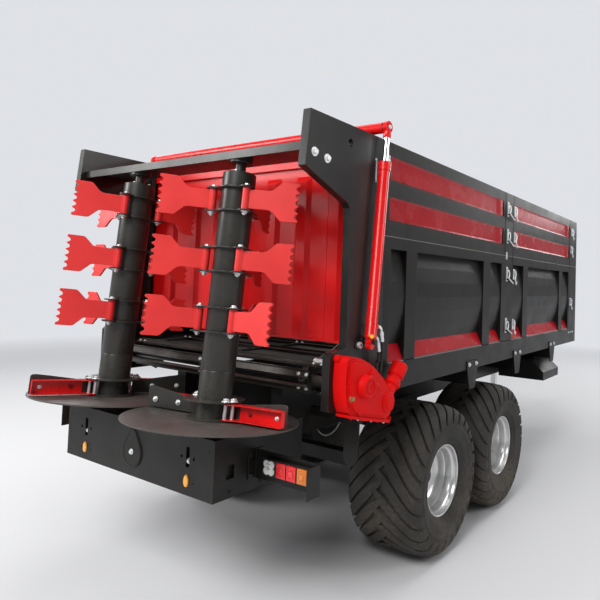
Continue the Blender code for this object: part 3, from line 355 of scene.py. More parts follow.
for row, y in (("rear", AXLE_Y[0]), ("front", AXLE_Y[1])):
    for hand, side in SIDES:
        hub = Vector((side * TRACK_X, y, HUB_Z))
        axis = along(hub, (side, 0, 0))
        wheel = f"{row}_{hand}_wheel"
        tyre = bmesh.new()
        half = ROOT[1:] + WALL[1:]
        ring = [(-u, r) for u, r in reversed(half[1:])] + half
        turned(tyre, ring + [ring[0]], axis, 78)
        for number in range(2 * BARS):
            face, start = 1 - 2 * (number % 2), 180 / BARS * number
            top = bmesh.ops.create_grid(tyre, x_segments=len(CROWN) - 1, y_segments=2,
                    size=1.0)["verts"]
            grown = bmesh.ops.extrude_face_region(tyre,
                    geom=list({f for v in top for f in v.link_faces}))["geom"]
            foot = [v for v in grown if isinstance(v, bmesh.types.BMVert)]
            for verts, line, wider, inset, sunk in ((foot, ROOT, 0.5, 0.002, 0.004),
                    (top, CROWN, 0.0, 0.0, 0.0)):
                for vert in verts:
                    step = round((vert.co.x + 1) / 2 * (len(CROWN) - 1))
                    u, r = line[step][0] - inset, line[step][1] - sunk
                    a = radians(start + SWEEP[step] + vert.co.y * (HALF_BAR[step] + wider))
                    vert.co = hub + Vector((side * face * u, r * cos(a), r * sin(a)))
        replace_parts(finished(wheel.replace("wheel", "tyre_tread"), tyre, [rubber], wheel,
                        32), f"{row}_{hand}_tyre")

        # Rim: rolled steel with stepped wells, sprayed silver; the disc sits deep inside and
        # is held by eight nuts round the hub. The valve stands in the outer well.
        rim = bmesh.new()
        turned(rim, RIM + RIM[:1], axis, 72)
        turned(rim, CAP, axis, 40, 1)
        for number in range(NUTS):
            a = tau * (number + 0.5) / NUTS
            spot = hub + Vector((side * 0.044, NUTS_R * cos(a), NUTS_R * sin(a)))
            bolt(rim, spot, (side, 0, 0), 0.024, 2, 0.008)
        valve = hub + Vector((side * 0.118, VALVE_R * cos(VALVE_AT), VALVE_R * sin(VALVE_AT)))
        bent = [valve + Vector((side * x, -r * cos(VALVE_AT), -r * sin(VALVE_AT)))
                for x, r in ((0.0, 0.0), (0.03, 0.012), (0.028, 0.011), (0.04, 0.016))]
        bar(rim, bent[0], bent[1], 0.0045, 12, 3)
        bar(rim, bent[2], bent[3], 0.0062, 12, 3)
        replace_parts(finished(wheel.replace("wheel", "wheel_rim"), rim,
                        [rim_paint, satin_black, zinc, rubber], wheel),
                    f"{row}_{hand}_rim")

# Body sides, boards, plates and front wall: folded sheet steel sprayed satin charcoal. The
# grooves of the boards and the sloped strips over the sill carry a glossy crimson stripe.
CHARCOAL = (0.0105, 0.0092, 0.0076)
CRIMSON = (0.4, 0.004, 0.01)


def striped(name, colour, across, heights, coat):
    """The charcoal finish with crimson on outward faces where |X| and Z fall inside the ranges."""
    # The grey along the edges of the boards and sides is a painted highlight.
    finish = paint(name, colour, 0.38, coat=coat, dust=0.09, dust_top=0.5, peel=0.1,
                   edge_highlight_and_wear=(0.05, 0.05, 0.05), shine=0.22)
    tree = finish.node_tree
    shader, coating = tree.nodes["Principled BSDF"].inputs, tree.nodes["Group"].outputs
    place = tree.nodes.new("ShaderNodeTexCoord").outputs
    apart = parts_of(tree, place["Object"])
    width = sums(tree, "ABSOLUTE", apart["X"])
    inside = sums(tree, "COMPARE", width, sum(across) / 2, (across[1] - across[0]) / 2)
    stripe = None
    for lo, hi in heights:
        band = sums(tree, "COMPARE", apart["Z"], (lo + hi) / 2, (hi - lo) / 2)
        stripe = band if stripe is None else sums(tree, "MAXIMUM", stripe, band)
    facing = times(tree, parts_of(tree, place["Normal"])["X"], apart["X"])
    mask = times(tree, inside, stripe, sums(tree, "GREATER_THAN", facing, 0.05))
    tone = blend_colours(tree, coating["Tone"], tuple(0.86 * c for c in CRIMSON), CRIMSON)
    dusty = blend_colours(tree, times(tree, coating["Dust"], 0.25), tone, DUST)
    below, rough = (shader[label].links[0].from_socket for label in ("Base Color", "Roughness"))
    tree.links.new(blend_colours(tree, mask, below, dusty), shader["Base Color"])
    tree.links.new(sums(tree, "SUBTRACT", rough, times(tree, mask, 0.12)), shader["Roughness"])
    return finish


board_paint = striped("board_charcoal", CHARCOAL, (0.956, 0.9697),
                      [(2.0675, 2.2005), (2.2975, 2.4305)], 0.06)
side_paint = striped("side_charcoal", (0.0082, 0.0072, 0.006), (0.915, 0.9697), [(1.2635, 1.356)],
                     0.0)
# The olive-grey along the edges of the plates and the beam is a painted highlight.
plate_paint = paint("plate_charcoal", (0.0088, 0.0078, 0.0066), 0.38, coat=0.1, dust=0.12,
                    dust_top=1.4, peel=0.1, edge_highlight_and_wear=(0.1, 0.1, 0.08), shine=0.3)
# The top beam takes a lighter copy of the plates' charcoal, a painted sheen of the light on its rear face.
beam_lit_charcoal = paint("beam_charcoal_painted_sheen", (0.019, 0.0178, 0.014), 0.38, coat=0.1, dust=0.12,
                   dust_top=1.6, peel=0.1, edge_highlight_and_wear=(0.1, 0.1, 0.08), shine=0.35)
floor_sheet = paint("floor_black", BLACK, 0.45, dust=0.7, dust_top=1.5, peel=0.15)
refinish(board_paint, "rear_right_board", "rear_left_board", "front_right_board",
         "front_left_board")
refinish(side_paint, "right_side_panel", "left_side_panel")
refinish(plate_paint, "right_rear_plate", "left_rear_plate", "front_wall")
refinish(beam_lit_charcoal, "top_beam")
refinish(floor_sheet, "body_floor")

# Board latches: plated drop hooks on the front board's end and their eye plates on the
# middle post, one pair at each board and two lower down, with more at the front corner post.
POST_X, HEADS_X, WIRE_X = 0.9715, 0.975, 0.986
PAIRS_Z, EYES_Y, HOOKS_Y = (2.37, 2.142, 1.82, 1.388), REAR + 2.262, REAR + 2.432
CORNER_HOOKS = ((4.38, 2.356), (4.35, 2.15), (4.345, 1.55))
latches = bmesh.new()


def eye_plate(shape, side, y, z):
    """The ring half of a latch: a screwed plate with a bent ring that the hook pulls on."""
    x = side * POST_X
    block(shape, (x - 0.0015, y - 0.013, z - 0.062), (x + 0.0035, y + 0.013, z + 0.062))
    for step in (-0.048, 0.048):
        bolt(shape, (side * HEADS_X, y, z + step), (side, 0, 0), 0.01)
    turns = [tau * k / 12 for k in range(12)]
    ring = [Vector((side * (WIRE_X + 0.004 * cos(a)), y + 0.004 + 0.016 * cos(a),
                    z + 0.034 * sin(a))) for a in turns]
    round_bars(shape, ring, 0.0048, 8)
    bar(shape, (side * 0.988, y + 0.006, z - 0.034), (side * WIRE_X, y + 0.12, z - 0.076), 0.0055,
        10)
    block(shape, (side * 0.974, y - 0.01, z - 0.05), (side * 0.99, y + 0.01, z - 0.038), 1)


def hook_latch(shape, side, y, z):
    """The lever half: a screwed plate, a bent handle that hangs down and a hooked link."""
    x = side * POST_X
    block(shape, (x - 0.0015, y - 0.015, z - 0.03), (x + 0.0035, y + 0.015, z + 0.062))
    for step in (-0.016, 0.048):
        bolt(shape, (side * HEADS_X, y, z + step), (side, 0, 0), 0.01)
    line = [(0.004, 0.052), (0.012, 0.02), (0.004, -0.02), (0.01, -0.052), (0.026, -0.07),
            (0.032, -0.054)]
    points = [Vector((side * (WIRE_X + 0.003 * (k % 2)), y + a, z + b))
              for k, (a, b) in enumerate(line)]
    for start, end in zip(points, points[1:]):
        bar(shape, start, end, 0.0056, 10)
        bmesh.ops.create_uvsphere(shape, u_segments=10, v_segments=6, radius=0.0058,
                matrix=moved(end))
    bar(shape, (side * WIRE_X, y - 0.03, z + 0.03), (side * WIRE_X, y + 0.008, z + 0.03), 0.004, 8)


for side in (-1, 1):
    for z in PAIRS_Z:
        eye_plate(latches, side, EYES_Y, z)
        hook_latch(latches, side, HOOKS_Y, z - 0.014)
    block(latches, (side * FACE_X - 0.003, REAR + 2.238, 1.944),
          (side * FACE_X + 0.004, EYES_Y, 2.006))
    for y, z in CORNER_HOOKS:
        hook_latch(latches, side, REAR + y, z)
finished("board_latches", latches, [zinc, satin_black], "spreader", 40)

# Post covers and seams: a thin charcoal strip on each middle post, a dark line at each joint
# of the side, and pale grey strips under the boards and along the top of the sill as painted highlight.
ledge_painted_highlight = paint("ledge_highlight_grey", (0.24, 0.23, 0.215), 0.5, dust=0.6, peel=0.1)
# Near black for the joints of the side, and for the lugs' slots as painted shade.
seam_dark_and_slot_shade = paint("seam_dark_and_slot_shade", (0.004, 0.004, 0.004), 0.7, dust=0.2)
SEAMS = ((2.213, 0.005, 1.982, 2.508), (2.404, 0.008, 1.74, 2.508), (4.29, 0.005, 1.262, 2.508))
trims = bmesh.new()
for side in (-1, 1):
    block(trims, at(side, 0.969, 2.218, 1.98), at(side, 0.9712, 2.4, 2.505))
    for y, wide, lo, hi in SEAMS:
        block(trims, (side * 0.969, REAR + y - wide, lo), at(side, 0.9714, y + wide, hi), 2)
    # Pale grey strips under the boards and on the sill's top: painted highlight.
    block(trims, at(side, 0.969, 0.325, 1.9735), at(side, 0.9708, 4.59, 1.977), 1)
    block(trims, at(side, 0.94, 0.4, 1.2555), at(side, FACE_X, 4.25, 1.26), 1)
finished("post_covers", trims, [plate_paint, ledge_painted_highlight, seam_dark_and_slot_shade], "spreader", 38)

# Groove ends: lugs of folded sheet in glossy crimson close the grooves of the boards before
# each post. Each ramps up from the groove's floor and has a small slot, a flat dark plate as painted shade.
crimson_gloss = paint("crimson_gloss", CRIMSON, 0.28, coat=0.15, dust=0.05, dust_top=0.6, peel=0.08)
GROOVE_ENDS, GROOVES_Z = (2.14, 4.24), ((2.072, 2.196), (2.302, 2.426))
RAMP_X, RAMP_FOOT_X, RAMP_BACK = 0.9622, 0.9575, 0.08
lugs = bmesh.new()
for side in (-1, 1):
    for end in GROOVE_ENDS:
        for lo, hi in GROOVES_Z:
            y, middle = REAR + end, (lo + hi) / 2
            block(lugs, (side * 0.9565, y - 0.055, lo + 0.002), (side * 0.9692, y, hi - 0.002))
            place = moved((side * RAMP_X, y - RAMP_BACK, middle))
            wedge = bmesh.ops.create_cube(lugs, size=1.0,
                    matrix=place @ Matrix.Diagonal((0.011, 0.05, hi - lo - 0.004, 1)))
            for vert in wedge["verts"]:
                if vert.co.y < y - RAMP_BACK and side * vert.co.x > RAMP_X:
                    vert.co.x = side * RAMP_FOOT_X
            # The slot is a flat dark plate: painted shade.
            block(lugs, (side * 0.9685, y - 0.016, middle - 0.014),
                  (side * 0.9698, y - 0.006, middle + 0.014), 1)
finished("groove_end_lugs", lugs, [crimson_gloss, seam_dark_and_slot_shade], "spreader", 38, 0.0012)

# Horn plates and top beam: two big plated bolt heads on each plate hold the beam, and four
# smaller ones a side hold the beaters' bearings on top of it.
HORN_BOLTS, BEARINGS_X = ((-0.303, 2.313), (-0.207, 2.3)), (0.3, 0.36, 0.86, 0.8)
plate_bolts = bmesh.new()
beam_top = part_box("top_beam")[1].z
for side in (-1, 1):
    for y, z in HORN_BOLTS:
        bolt(plate_bolts, at(side, FACE_X, y, z), (side, 0, 0), 0.026)
    for x in BEARINGS_X:
        bolt(plate_bolts, (side * x, REAR - 0.16, beam_top), UP, 0.016)
finished("plate_bolts", plate_bolts, [zinc], "spreader", 38)

# Transmission housing under the discs: folded black sheet with a slot for each belt
# adjuster, a pear-shaped cover on one bolt and oval amber reflectors.
BOX_REAR, SLOT_X, PEAR_R, PEAR_Z = REAR - 0.511, 0.4345, 0.0715, 0.795
refinish(satin_black, "transmission_housing", "toolbox", "jack_tube")
amber = paint("amber_reflector", (0.95, 0.36, 0.01), 0.2, coat=0.8, dust=0.05, peel=0.4)
hole_painted_shade = paint("painted_hole_shade", (0.004, 0.004, 0.004), 0.8, dust=0.2)
housing = bmesh.new()
slot_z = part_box("transmission_housing")[1].z - 0.11
for side in (-1, 1):
    x = side * SLOT_X
    bolt(housing, (x, BOX_REAR + 0.012, slot_z - 0.018), (0, -1, 0), 0.017)
    bar(housing, (x + 0.002, BOX_REAR + 0.016, slot_z + 0.02),
        (x + 0.002, BOX_REAR + 0.016, slot_z + 0.048), 0.007, 10, 2)
    oval = bmesh.ops.create_cone(housing, cap_ends=True, segments=40, radius1=0.021, radius2=0.018,
            depth=0.006, matrix=moved((x - 0.004, BOX_REAR - 0.003, 0.737))
            @ Matrix.Diagonal((0.8, 1, 1.45, 1)) @ spun(90, "X"))
    coloured(oval["verts"], 1)
    # Flat dark discs on the rear sheet stand for holes: painted shade.
    for dx in (-0.04, 0.048):
        bar(housing, (x + dx, BOX_REAR - 0.0008, 0.734), (x + dx, BOX_REAR + 0.002, 0.734), 0.0055,
            14, 3)
    for y in (0.1, 0.3, 0.46):
        bolt(housing, (side * 0.62, BOX_REAR + y, 0.7), (side, 0, 0), 0.01, 2)
    # Two more flat dark discs for holes: painted shade.
    for z in (0.7, 0.9):
        bar(housing, (side * 0.585, BOX_REAR - 0.0008, z), (side * 0.585, BOX_REAR + 0.002, z),
            0.0045, 12, 3)
bolt(housing, (0, BOX_REAR - 0.006, PEAR_Z), (0, -1, 0), 0.017)
turns = [radians(150 + 10 * k) for k in range(25)]
pear = [(PEAR_R * cos(a), PEAR_Z + PEAR_R * sin(a)) for a in turns] + [(0.018, 0.904),
        (-0.018, 0.904)]
round_bars(housing, [Vector((x, BOX_REAR - 0.0062, z)) for x, z in pear], 0.0016, 6, 2)
finished("housing_fittings", housing, [zinc, amber, satin_black, hole_painted_shade], "spreader",
         50)

# Rear lamps: a folded sheet bracket bolted to each side of the housing, and a moulded unit
# on it with a lobed clear lens, two red ones and an amber one in a black bezel.
clear_lens, red_lens, amber_lens = (paint(f"{name}_lens", colour, 0.14, coat=0.8, dust=0.05,
        peel=0.3) for name, colour in (("clear", (0.9, 0.87, 0.82)), ("red", (0.85, 0.006, 0.01)),
        ("amber", (0.78, 0.2, 0.004))))
black_plastic = paint("black_plastic", (0.01, 0.01, 0.011), 0.48, peel=0.3)
LAMP_IN, LAMP_OUT, LAMP_Y = 0.6203, 1.03, REAR - 0.25
LENS_Y = LAMP_Y - 0.03


def lamp_block(shape, side, xs, ys, zs, finish=0):
    """A block on one side, from its ranges of X, Y and Z; Y counts from the bracket's face."""
    block(shape, (side * xs[0], LAMP_Y + ys[0], zs[0]), (side * xs[1], LAMP_Y + ys[1], zs[1]),
          finish)


for hand, side in SIDES:
    lamp = bmesh.new()
    low, high = (corner.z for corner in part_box(f"{hand}_lamp_bracket"))
    middle = low + 0.08
    for xs, ys in (((LAMP_IN, LAMP_OUT - 0.001), (0.0, 0.005)),
                   ((LAMP_IN, LAMP_IN + 0.006), (-0.05, 0.05)),
                   ((LAMP_OUT - 0.006, LAMP_OUT), (-0.085, 0.005))):
        lamp_block(lamp, side, xs, ys, (low, high), 4)
    for y, z in ((-0.034, 0.025), (-0.034, 0.118), (0.03, 0.025), (0.03, 0.118)):
        bolt(lamp, (side * (LAMP_IN + 0.006), LAMP_Y + y, low + z), (side, 0, 0), 0.012, 4)
    lamp_block(lamp, side, (0.704, 0.998), (-0.027, 0.001), (middle - 0.037, middle + 0.037))
    lamp_block(lamp, side, (0.7, 1.002), (-0.03, -0.024), (middle - 0.041, middle + 0.041))
    for dx, dz in ((-0.015, 0.016), (0.015, 0.016), (-0.015, -0.016), (0.015, -0.016), (0.0, 0.0)):
        for share, back, front, radius, steps in ((1.0, 0.0055, 0.001, 0.0185, 24),
                (0.6, 0.0085, 0.0, 0.01, 20)):
            x, z = side * 0.744 + dx * share, middle + dz * share
            bar(lamp, (x, LENS_Y - back, z), (x, LENS_Y + front, z), radius, steps, 1)
    for x, finish in ((0.822, 2), (0.886, 2), (0.952, 3)):
        lens = [(0.0, 0.0285, -0.0355, -0.03, 0.035), (0.0, 0.012, -0.0395, -0.036, 0.013)]
        lens += [(0.0075 * rib - 0.0225, 0.0026, -0.037, -0.035, 0.032) for rib in range(7)]
        for dx, half, back, front, tall in lens:
            lamp_block(lamp, side, (x + dx - half, x + dx + half), (back, front),
                       (middle - tall, middle + tall), finish)
    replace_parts(finished(f"{hand}_rear_lamp", lamp,
                         [black_plastic, clear_lens, red_lens, amber_lens, satin_black],
                         "spreader", 38, 0.0012), f"{hand}_lamp_bracket")

# Beaters: a black tube leans forwards over each spreading disc; lobed flange rings hold
# three toothed throwing knives on bolts, and the disc carries two throwing paddles.
BEATER_X, BEATER_Y, BEATER_Z, LEAN = 0.4345, REAR - 0.371, 1.006, radians(5.0)
DRUM_R, BUSH_R, LOBE_R, REACH = 0.085, 0.125, 0.036, 0.268
LEVELS = (0.489, 0.792, 1.105)
BOLTS_AT = {"right": -143, "left": -64}
PADDLES_AT = {"right": 11, "left": -107}
SWING = {"right": [(10, 21, 19), (12, 60, 19), (12, 60, 16)],
         "left": [(-58, 30, 6), (-58, 36, 4), (-58, 33, 6)]}
DRUM = [(0.0045, 0.0), (0.0045, 0.085), (0.2365, 0.085), (0.238, 0.0845), (0.2395, 0.0835),
        (0.241, 0.0845), (0.2425, 0.085), (1.249, 0.085), (1.2528, 0.081), (1.2528, 0.04),
        (1.256, 0.033), (1.26, 0.0278), (1.3065, 0.0278), (1.3065, 0.0)]
DISC = [(0.004, 0.0), (0.004, 0.4275), (0.003, 0.4294), (-0.003, 0.4294), (-0.004, 0.4275),
        (-0.004, 0.1), (-0.0255, 0.098), (-0.0255, 0.0)]
BACK = [(0.106, 0.0125), (0.4255, 0.0125), (0.4255, 0.108), (0.418, 0.116), (0.4, 0.118),
        (0.33, 0.11), (0.2, 0.0925), (0.106, 0.0925)]
LIP = [(0.102, 0.0055), (0.419, 0.0055), (0.419, 0.037), (0.413, 0.044), (0.4, 0.047),
       (0.19, 0.047), (0.13, 0.07), (0.108, 0.072), (0.1, 0.064)]
# The knives' red is paler and pinker than the other reds as a painted sheen, and lighter still along the edges
# as a painted highlight.
knife_red_painted_sheen = paint("knife_red_painted_sheen", (0.66, 0.028, 0.025), 0.42, coat=0.1, dust=0.04, dust_top=1.6,
                  edge_highlight_and_wear=(0.85, 0.12, 0.1))
# The lighter red along the glossy red's edges is a painted highlight.
gloss_red = paint("gloss_red", (0.66, 0.004, 0.0045), 0.26, coat=0.14, dust=0.04, dust_top=0.8,
                  edge_highlight_and_wear=(0.75, 0.06, 0.05))
# The drums, flange rings and paddle backs share a black lighter and warmer than the satin black: a painted
# sheen, with a painted highlight along its edges.
black_with_painted_sheen = paint("black_with_painted_sheen", (0.0185, 0.0178, 0.0145), 0.36, coat=0.18, dust_top=2.6,
                   edge_highlight_and_wear=(0.05, 0.05, 0.05))
disc_steel = paint("disc_steel", (0.075, 0.066, 0.062), 0.4, metal=0.35, dust=0.75, dust_top=3.2)


def plate(shape, outline, place, thick, finish=0):
    """A flat plate: the outline in the place's XY plane, raised along its Z."""
    rim = [shape.verts.new(place @ Vector((a, b, 0.0))) for a, b in outline]
    face = shape.faces.new(rim)
    face.material_index = finish
    raised = bmesh.ops.extrude_face_region(shape, geom=[face])["geom"]
    bmesh.ops.translate(shape, verts=[v for v in raised if isinstance(v, bmesh.types.BMVert)],
                        vec=place.to_3x3() @ UP * thick)
    coloured(rim, finish)


def flange_point(turn):
    """A point of the lobed flange, whose three lobes stand round the knife bolts."""
    reach = DRUM_R + 0.024
    for k in range(3):
        a = turn - tau * k / 3
        off = BUSH_R * sin(a)
        if cos(a) > 0 and abs(off) < LOBE_R:
            reach = max(reach, BUSH_R * cos(a) + sqrt(LOBE_R ** 2 - off ** 2))
    return reach * cos(turn), reach * sin(turn)


def knife_side():
    """Knife outline: straight arm, flared end and five round notches."""
    arm, end, teeth = 0.049, 0.101, 5
    pitch = 2 * end / (teeth + 0.6)
    edge = [(-0.016, arm * 0.75), (-0.004, arm), (REACH * 0.43, arm), (REACH * 0.5, arm + 0.005),
            (REACH * 0.66, end - 0.004), (REACH * 0.7, end), (REACH - 0.004, end)]
    line = [(a, -b) for a, b in edge]
    for tooth in range(teeth):
        z = (tooth + 0.3) * pitch - end
        line.append((REACH, z))
        for k in range(1, 8):
            a = pi * k / 8
            line.append((REACH - 0.019 * sin(a), z + pitch * (0.5 - 0.36 * cos(a))))
    line.append((REACH, (teeth + 0.3) * pitch - end))
    return line + edge[::-1]


flange = [flange_point(tau * k / 120) for k in range(120)]
# A darker red for the paddles' pivot tubes and inner bolts: painted shade between the clamp plates.
red_painted_shade = paint("red_painted_shade", (0.2, 0.006, 0.01), 0.35, dust=0.2)
for hand, side in SIDES:
    stand = moved((side * BEATER_X, BEATER_Y, BEATER_Z)) @ Matrix.Rotation(-LEAN, 4, "X")
    up = stand.to_3x3() @ UP
    body = hand + "_beater"
    drum = bmesh.new()
    turned(drum, DRUM, stand, 72)
    for k in range(4):
        a = tau * (k + 0.3) / 4
        bolt(drum, stand @ Vector((0.06 * cos(a), 0.06 * sin(a), 1.253)), up, 0.013, 1)
    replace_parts(finished(f"{hand}_drum", drum, [black_with_painted_sheen, zinc], body),
                f"{hand}_beater_drum")

    for level, height in enumerate(LEVELS, 1):
        knives = bmesh.new()
        for low in (-0.065, 0.057):
            plate(knives, flange, stand @ moved((0, 0, height + low)) @ spun(BOLTS_AT[hand], "Z"),
                  0.008, 1)
        for k in range(3):
            beta = radians(BOLTS_AT[hand] + 120 * k)
            spot = Vector((BUSH_R * cos(beta), BUSH_R * sin(beta), height))
            bar(knives, stand @ (spot - UP * 0.0565), stand @ (spot + UP * 0.0565), 0.019, 28)
            bolt(knives, stand @ (spot + UP * 0.065), up, 0.022, 2)
            bolt(knives, stand @ (spot - UP * 0.065), -up, 0.024, 2, 0.004)
            turn = beta + radians(SWING[hand][level - 1][k])
            blade = stand @ moved(spot) @ Matrix.Rotation(turn, 4, "Z") @ moved((0, 0.006, 0))
            plate(knives, knife_side(), blade @ spun(90, "X"), 0.012)
        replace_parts(finished(f"{hand}_knife_ring_{level}", knives, [knife_red_painted_sheen, black_with_painted_sheen, zinc],
                        body, 30, 0.0011), f"{hand}_knives_level_{level}")

    # Spreading disc: rolled plate with a scoured, dusty face, on a short black hub.
    disc = bmesh.new()
    turned(disc, DISC, stand, 128)
    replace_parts(finished(f"{hand}_disc", disc, [disc_steel], body),
                f"{hand}_spreading_disc")

    # Paddles: a black backing plate with a folded red channel bolted on the side that
    # leads, held between the clamp plates by a pivot tube and two plated spacer bolts.
    paddles = bmesh.new()
    for lo, hi, reach in ((0.0045, 0.012, 0.128), (0.093, 0.101, 0.15)):
        turned(paddles, [(lo, 0.0856), (lo, reach), (hi, reach), (hi, 0.0856), (lo, 0.0856)],
               stand, 72, 1)
    lead = -side
    for k in range(2):
        turn = stand @ spun(PADDLES_AT[hand] + 180 * k, "Z")
        plate(paddles, BACK, turn @ spun(90, "X"), -0.0055 * lead, 1)
        for lo in (0.0125, 0.086):
            plate(paddles, [(a, lead * b) for a, b in LIP], turn @ moved((0, 0, lo)), 0.005)
        for lo, hi, deep in ((0.165, 0.4185, 0.009), (0.4155, 0.419, 0.04)):
            near, far = sorted((lead * 0.0055, lead * deep))
            block(paddles, (lo, near, 0.013), (hi, far, 0.0905), 0, turn)
        out_way = turn.to_3x3() @ Vector((0, lead, 0))
        # The inner bolt takes the darker red as painted shade; the outer one is plated.
        for reach, finish in ((0.225, 3), (0.375, 2)):
            bolt(paddles, turn @ Vector((reach, lead * 0.009, 0.05)), out_way, 0.013, finish)
            bolt(paddles, turn @ Vector((reach, 0.0, 0.05)), -out_way, 0.017, 2, 0.003)
        # The first row, the pivot tube, takes the darker red as painted shade.
        spacers = ((0.124, 0.012, 0.012, 0.011, 24, 3, 0.024),
                   (0.134, 0.03, 0.0125, 0.0085, 20, 2, 0.026),
                   (0.11, 0.056, 0.0125, 0.0085, 20, 2, 0.026))
        for reach, off, lo, radius, steps, finish, across in spacers:
            foot = Vector((reach, lead * off, 0.0))
            bar(paddles, turn @ (foot + UP * lo), turn @ (foot + UP * 0.093), radius, steps, finish)
            bolt(paddles, turn @ (foot + UP * 0.101), up, across, 2)
    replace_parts(finished(f"{hand}_paddles", paddles, [gloss_red, black_with_painted_sheen, zinc, red_painted_shade], body,
                         30, 0.0008), f"{hand}_disc_paddles")

# Scraper floor: two-plate link chains and folded cross slats in worn, oily steel, bolted
# together, running round the rear and front shafts in one endless loop.
SHAFT_Y, SHAFT_Z, FRONT_Y = REAR - 0.02, 1.1965, REAR + 4.45
CHAINS_X, CHAIN_R, LINKS = (-0.76, 0.0, 0.76), 0.061, 152
SLAT_X, SLAT_GAP = 0.8, 0.345
worn_steel = paint("oiled_steel", (0.035, 0.031, 0.028), 0.36, metal=0.45, dust=0.6, dust_top=2.4,
                   peel=0.25, edge_highlight_and_wear=(0.16, 0.15, 0.14))
refinish(worn_steel, "rear_floor_shaft", "front_floor_shaft")
scraper = bmesh.new()
straight = FRONT_Y - SHAFT_Y
half_loop = straight + pi * CHAIN_R


def loop_place(run):
    """A matrix on the chain's path: Y along the chain, Z away from the shafts."""
    lower, run = divmod(run, half_loop)
    flat = min(run, straight)
    y = FRONT_Y - flat if lower else SHAFT_Y + flat
    turn = pi * lower - (run - flat) / CHAIN_R
    return moved((0, y, SHAFT_Z)) @ Matrix.Rotation(turn, 4, "X") @ moved((0, 0, CHAIN_R))


for x in CHAINS_X:
    for link in range(LINKS):
        turn = loop_place(2 * half_loop * link / LINKS)
        wide = 0.0145 if link % 2 else 0.0095
        for dx in (-wide, wide):
            block(scraper, (x + dx - 0.0022, -0.036, -0.0068), (x + dx + 0.0022, 0.036, 0.0068), 0,
                  turn)
        bmesh.ops.create_cone(scraper, cap_ends=True, segments=6, radius1=0.0062, radius2=0.0062,
                depth=0.035, matrix=turn @ moved((x, 0.03, 0)) @ spun(90, "Y"))
count = int(straight / SLAT_GAP)
upper = [moved((0, SHAFT_Y + 0.06 + k * (straight - 0.12) / count, SHAFT_Z))
         for k in range(count + 1)]
slats = upper + [spot @ spun(180, "X") for spot in upper]
slats += [moved((0, SHAFT_Y, SHAFT_Z)) @ spun(tilt, "X") for tilt in (60, 120)]
for turn in slats:
    for y0, y1, z0, z1 in ((-0.02, 0.02, 0.0665, 0.071), (-0.02, -0.016, 0.056, 0.068),
                           (0.016, 0.02, 0.07, 0.0855)):
        block(scraper, (-SLAT_X, y0, z0), (SLAT_X, y1, z1), 0, turn)
    for x in CHAINS_X:
        for dx in (-0.026, 0.026):
            bolt(scraper, turn @ Vector((x + dx, -0.002, 0.0705)), turn.to_3x3() @ UP, 0.012, 1)
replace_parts(finished("chain_floor", scraper, [worn_steel, zinc], "spreader", 35),
            "scraper_floor")

# Drive gearbox of the floor: an iron casting in red on the right-hand side sheet, with five
# round bosses, a row of bolts under its flange and the slanted hydraulic motor.
casting_red = paint("casting_red", (0.66, 0.003, 0.003), 0.5, dust=0.02, dust_top=0.5, peel=0.2,
                    shine=0.1)
gear = bmesh.new()
X0, X1, MID_Y, MID_Z = 0.9703, 1.048, 0.09, 1.165
case = [(-0.088, 1.343), (-0.03, 1.343), (0.061, 1.316), (0.146, 1.275), (0.236, 1.208),
        (0.303, 1.152), (0.348, 1.11), (0.352, 1.058), (0.321, 1.008), (0.3, 0.968), (0.198, 0.99),
        (0.031, 1.03), (-0.055, 1.055), (-0.086, 1.11), (-0.1, 1.2), (-0.096, 1.28)]
for again in range(3):
    case = [tuple(p * (1 - share) + q * share for p, q in zip(here, after))
            for here, after in zip(case, case[1:] + case[:1]) for share in (0.25, 0.75)]
across = Matrix(((0, 0, 1, X0), (1, 0, 0, REAR), (0, 1, 0, 0), (0, 0, 0, 1)))
plate(gear, case, across, X1 - X0)
for shrink, lift in ((0.94, 0.004), (0.86, 0.012), (0.835, 0.0155)):
    inner = [(MID_Y + (a - MID_Y) * shrink, MID_Z + (b - MID_Z) * (shrink - 0.02)) for a, b in case]
    plate(gear, inner, moved((0.08, 0, 0)) @ across, X1 - X0 - 0.08 + lift)
MAIN_Y, MAIN_Z = 0.045, 1.187
BOSSES = ((MAIN_Y, MAIN_Z, [(1.04, 0.0), (1.04, 0.066), (1.056, 0.064), (1.06, 0.061),
                            (1.089, 0.0575), (1.093, 0.054), (1.0998, 0.05), (1.0998, 0.04),
                            (1.095, 0.038), (1.095, 0.03), (1.0985, 0.028), (1.0985, 0.019),
                            (1.095, 0.017), (1.095, 0.0)]),
          (0.27, 1.074, [(1.04, 0.0), (1.04, 0.06), (1.068, 0.057), (1.073, 0.052), (1.073, 0.04),
                         (1.079, 0.037), (1.082, 0.033), (1.082, 0.0)]),
          (0.145, 1.157, [(1.04, 0.0), (1.04, 0.04), (1.069, 0.036), (1.073, 0.031), (1.073, 0.02),
                          (1.071, 0.018), (1.071, 0.0)]),
          (-0.054, 1.141, [(1.03, 0.0), (1.03, 0.027), (1.054, 0.023), (1.057, 0.02),
                           (1.057, 0.0)]),
          (0.013, 1.067, [(1.03, 0.0), (1.03, 0.02), (1.062, 0.017), (1.065, 0.014), (1.065, 0.0)]))
for y, z, profile in BOSSES:
    turned(gear, profile, moved((0, REAR + y, z)) @ spun(90, "Y"), 48)
for turn in (50, -14):
    around = moved((0, REAR + MAIN_Y, MAIN_Z)) @ spun(turn, "X")
    block(gear, (1.056, 0.05, -0.0035), (1.074, 0.1, 0.0035), 0, around)
under = [(0.316, 0.985), (0.3, 0.959), (0.031, 1.021), (-0.066, 1.048), (-0.066, 1.062),
         (0.031, 1.036), (0.3, 0.974), (0.312, 0.99)]
plate(gear, under, across, 0.088)
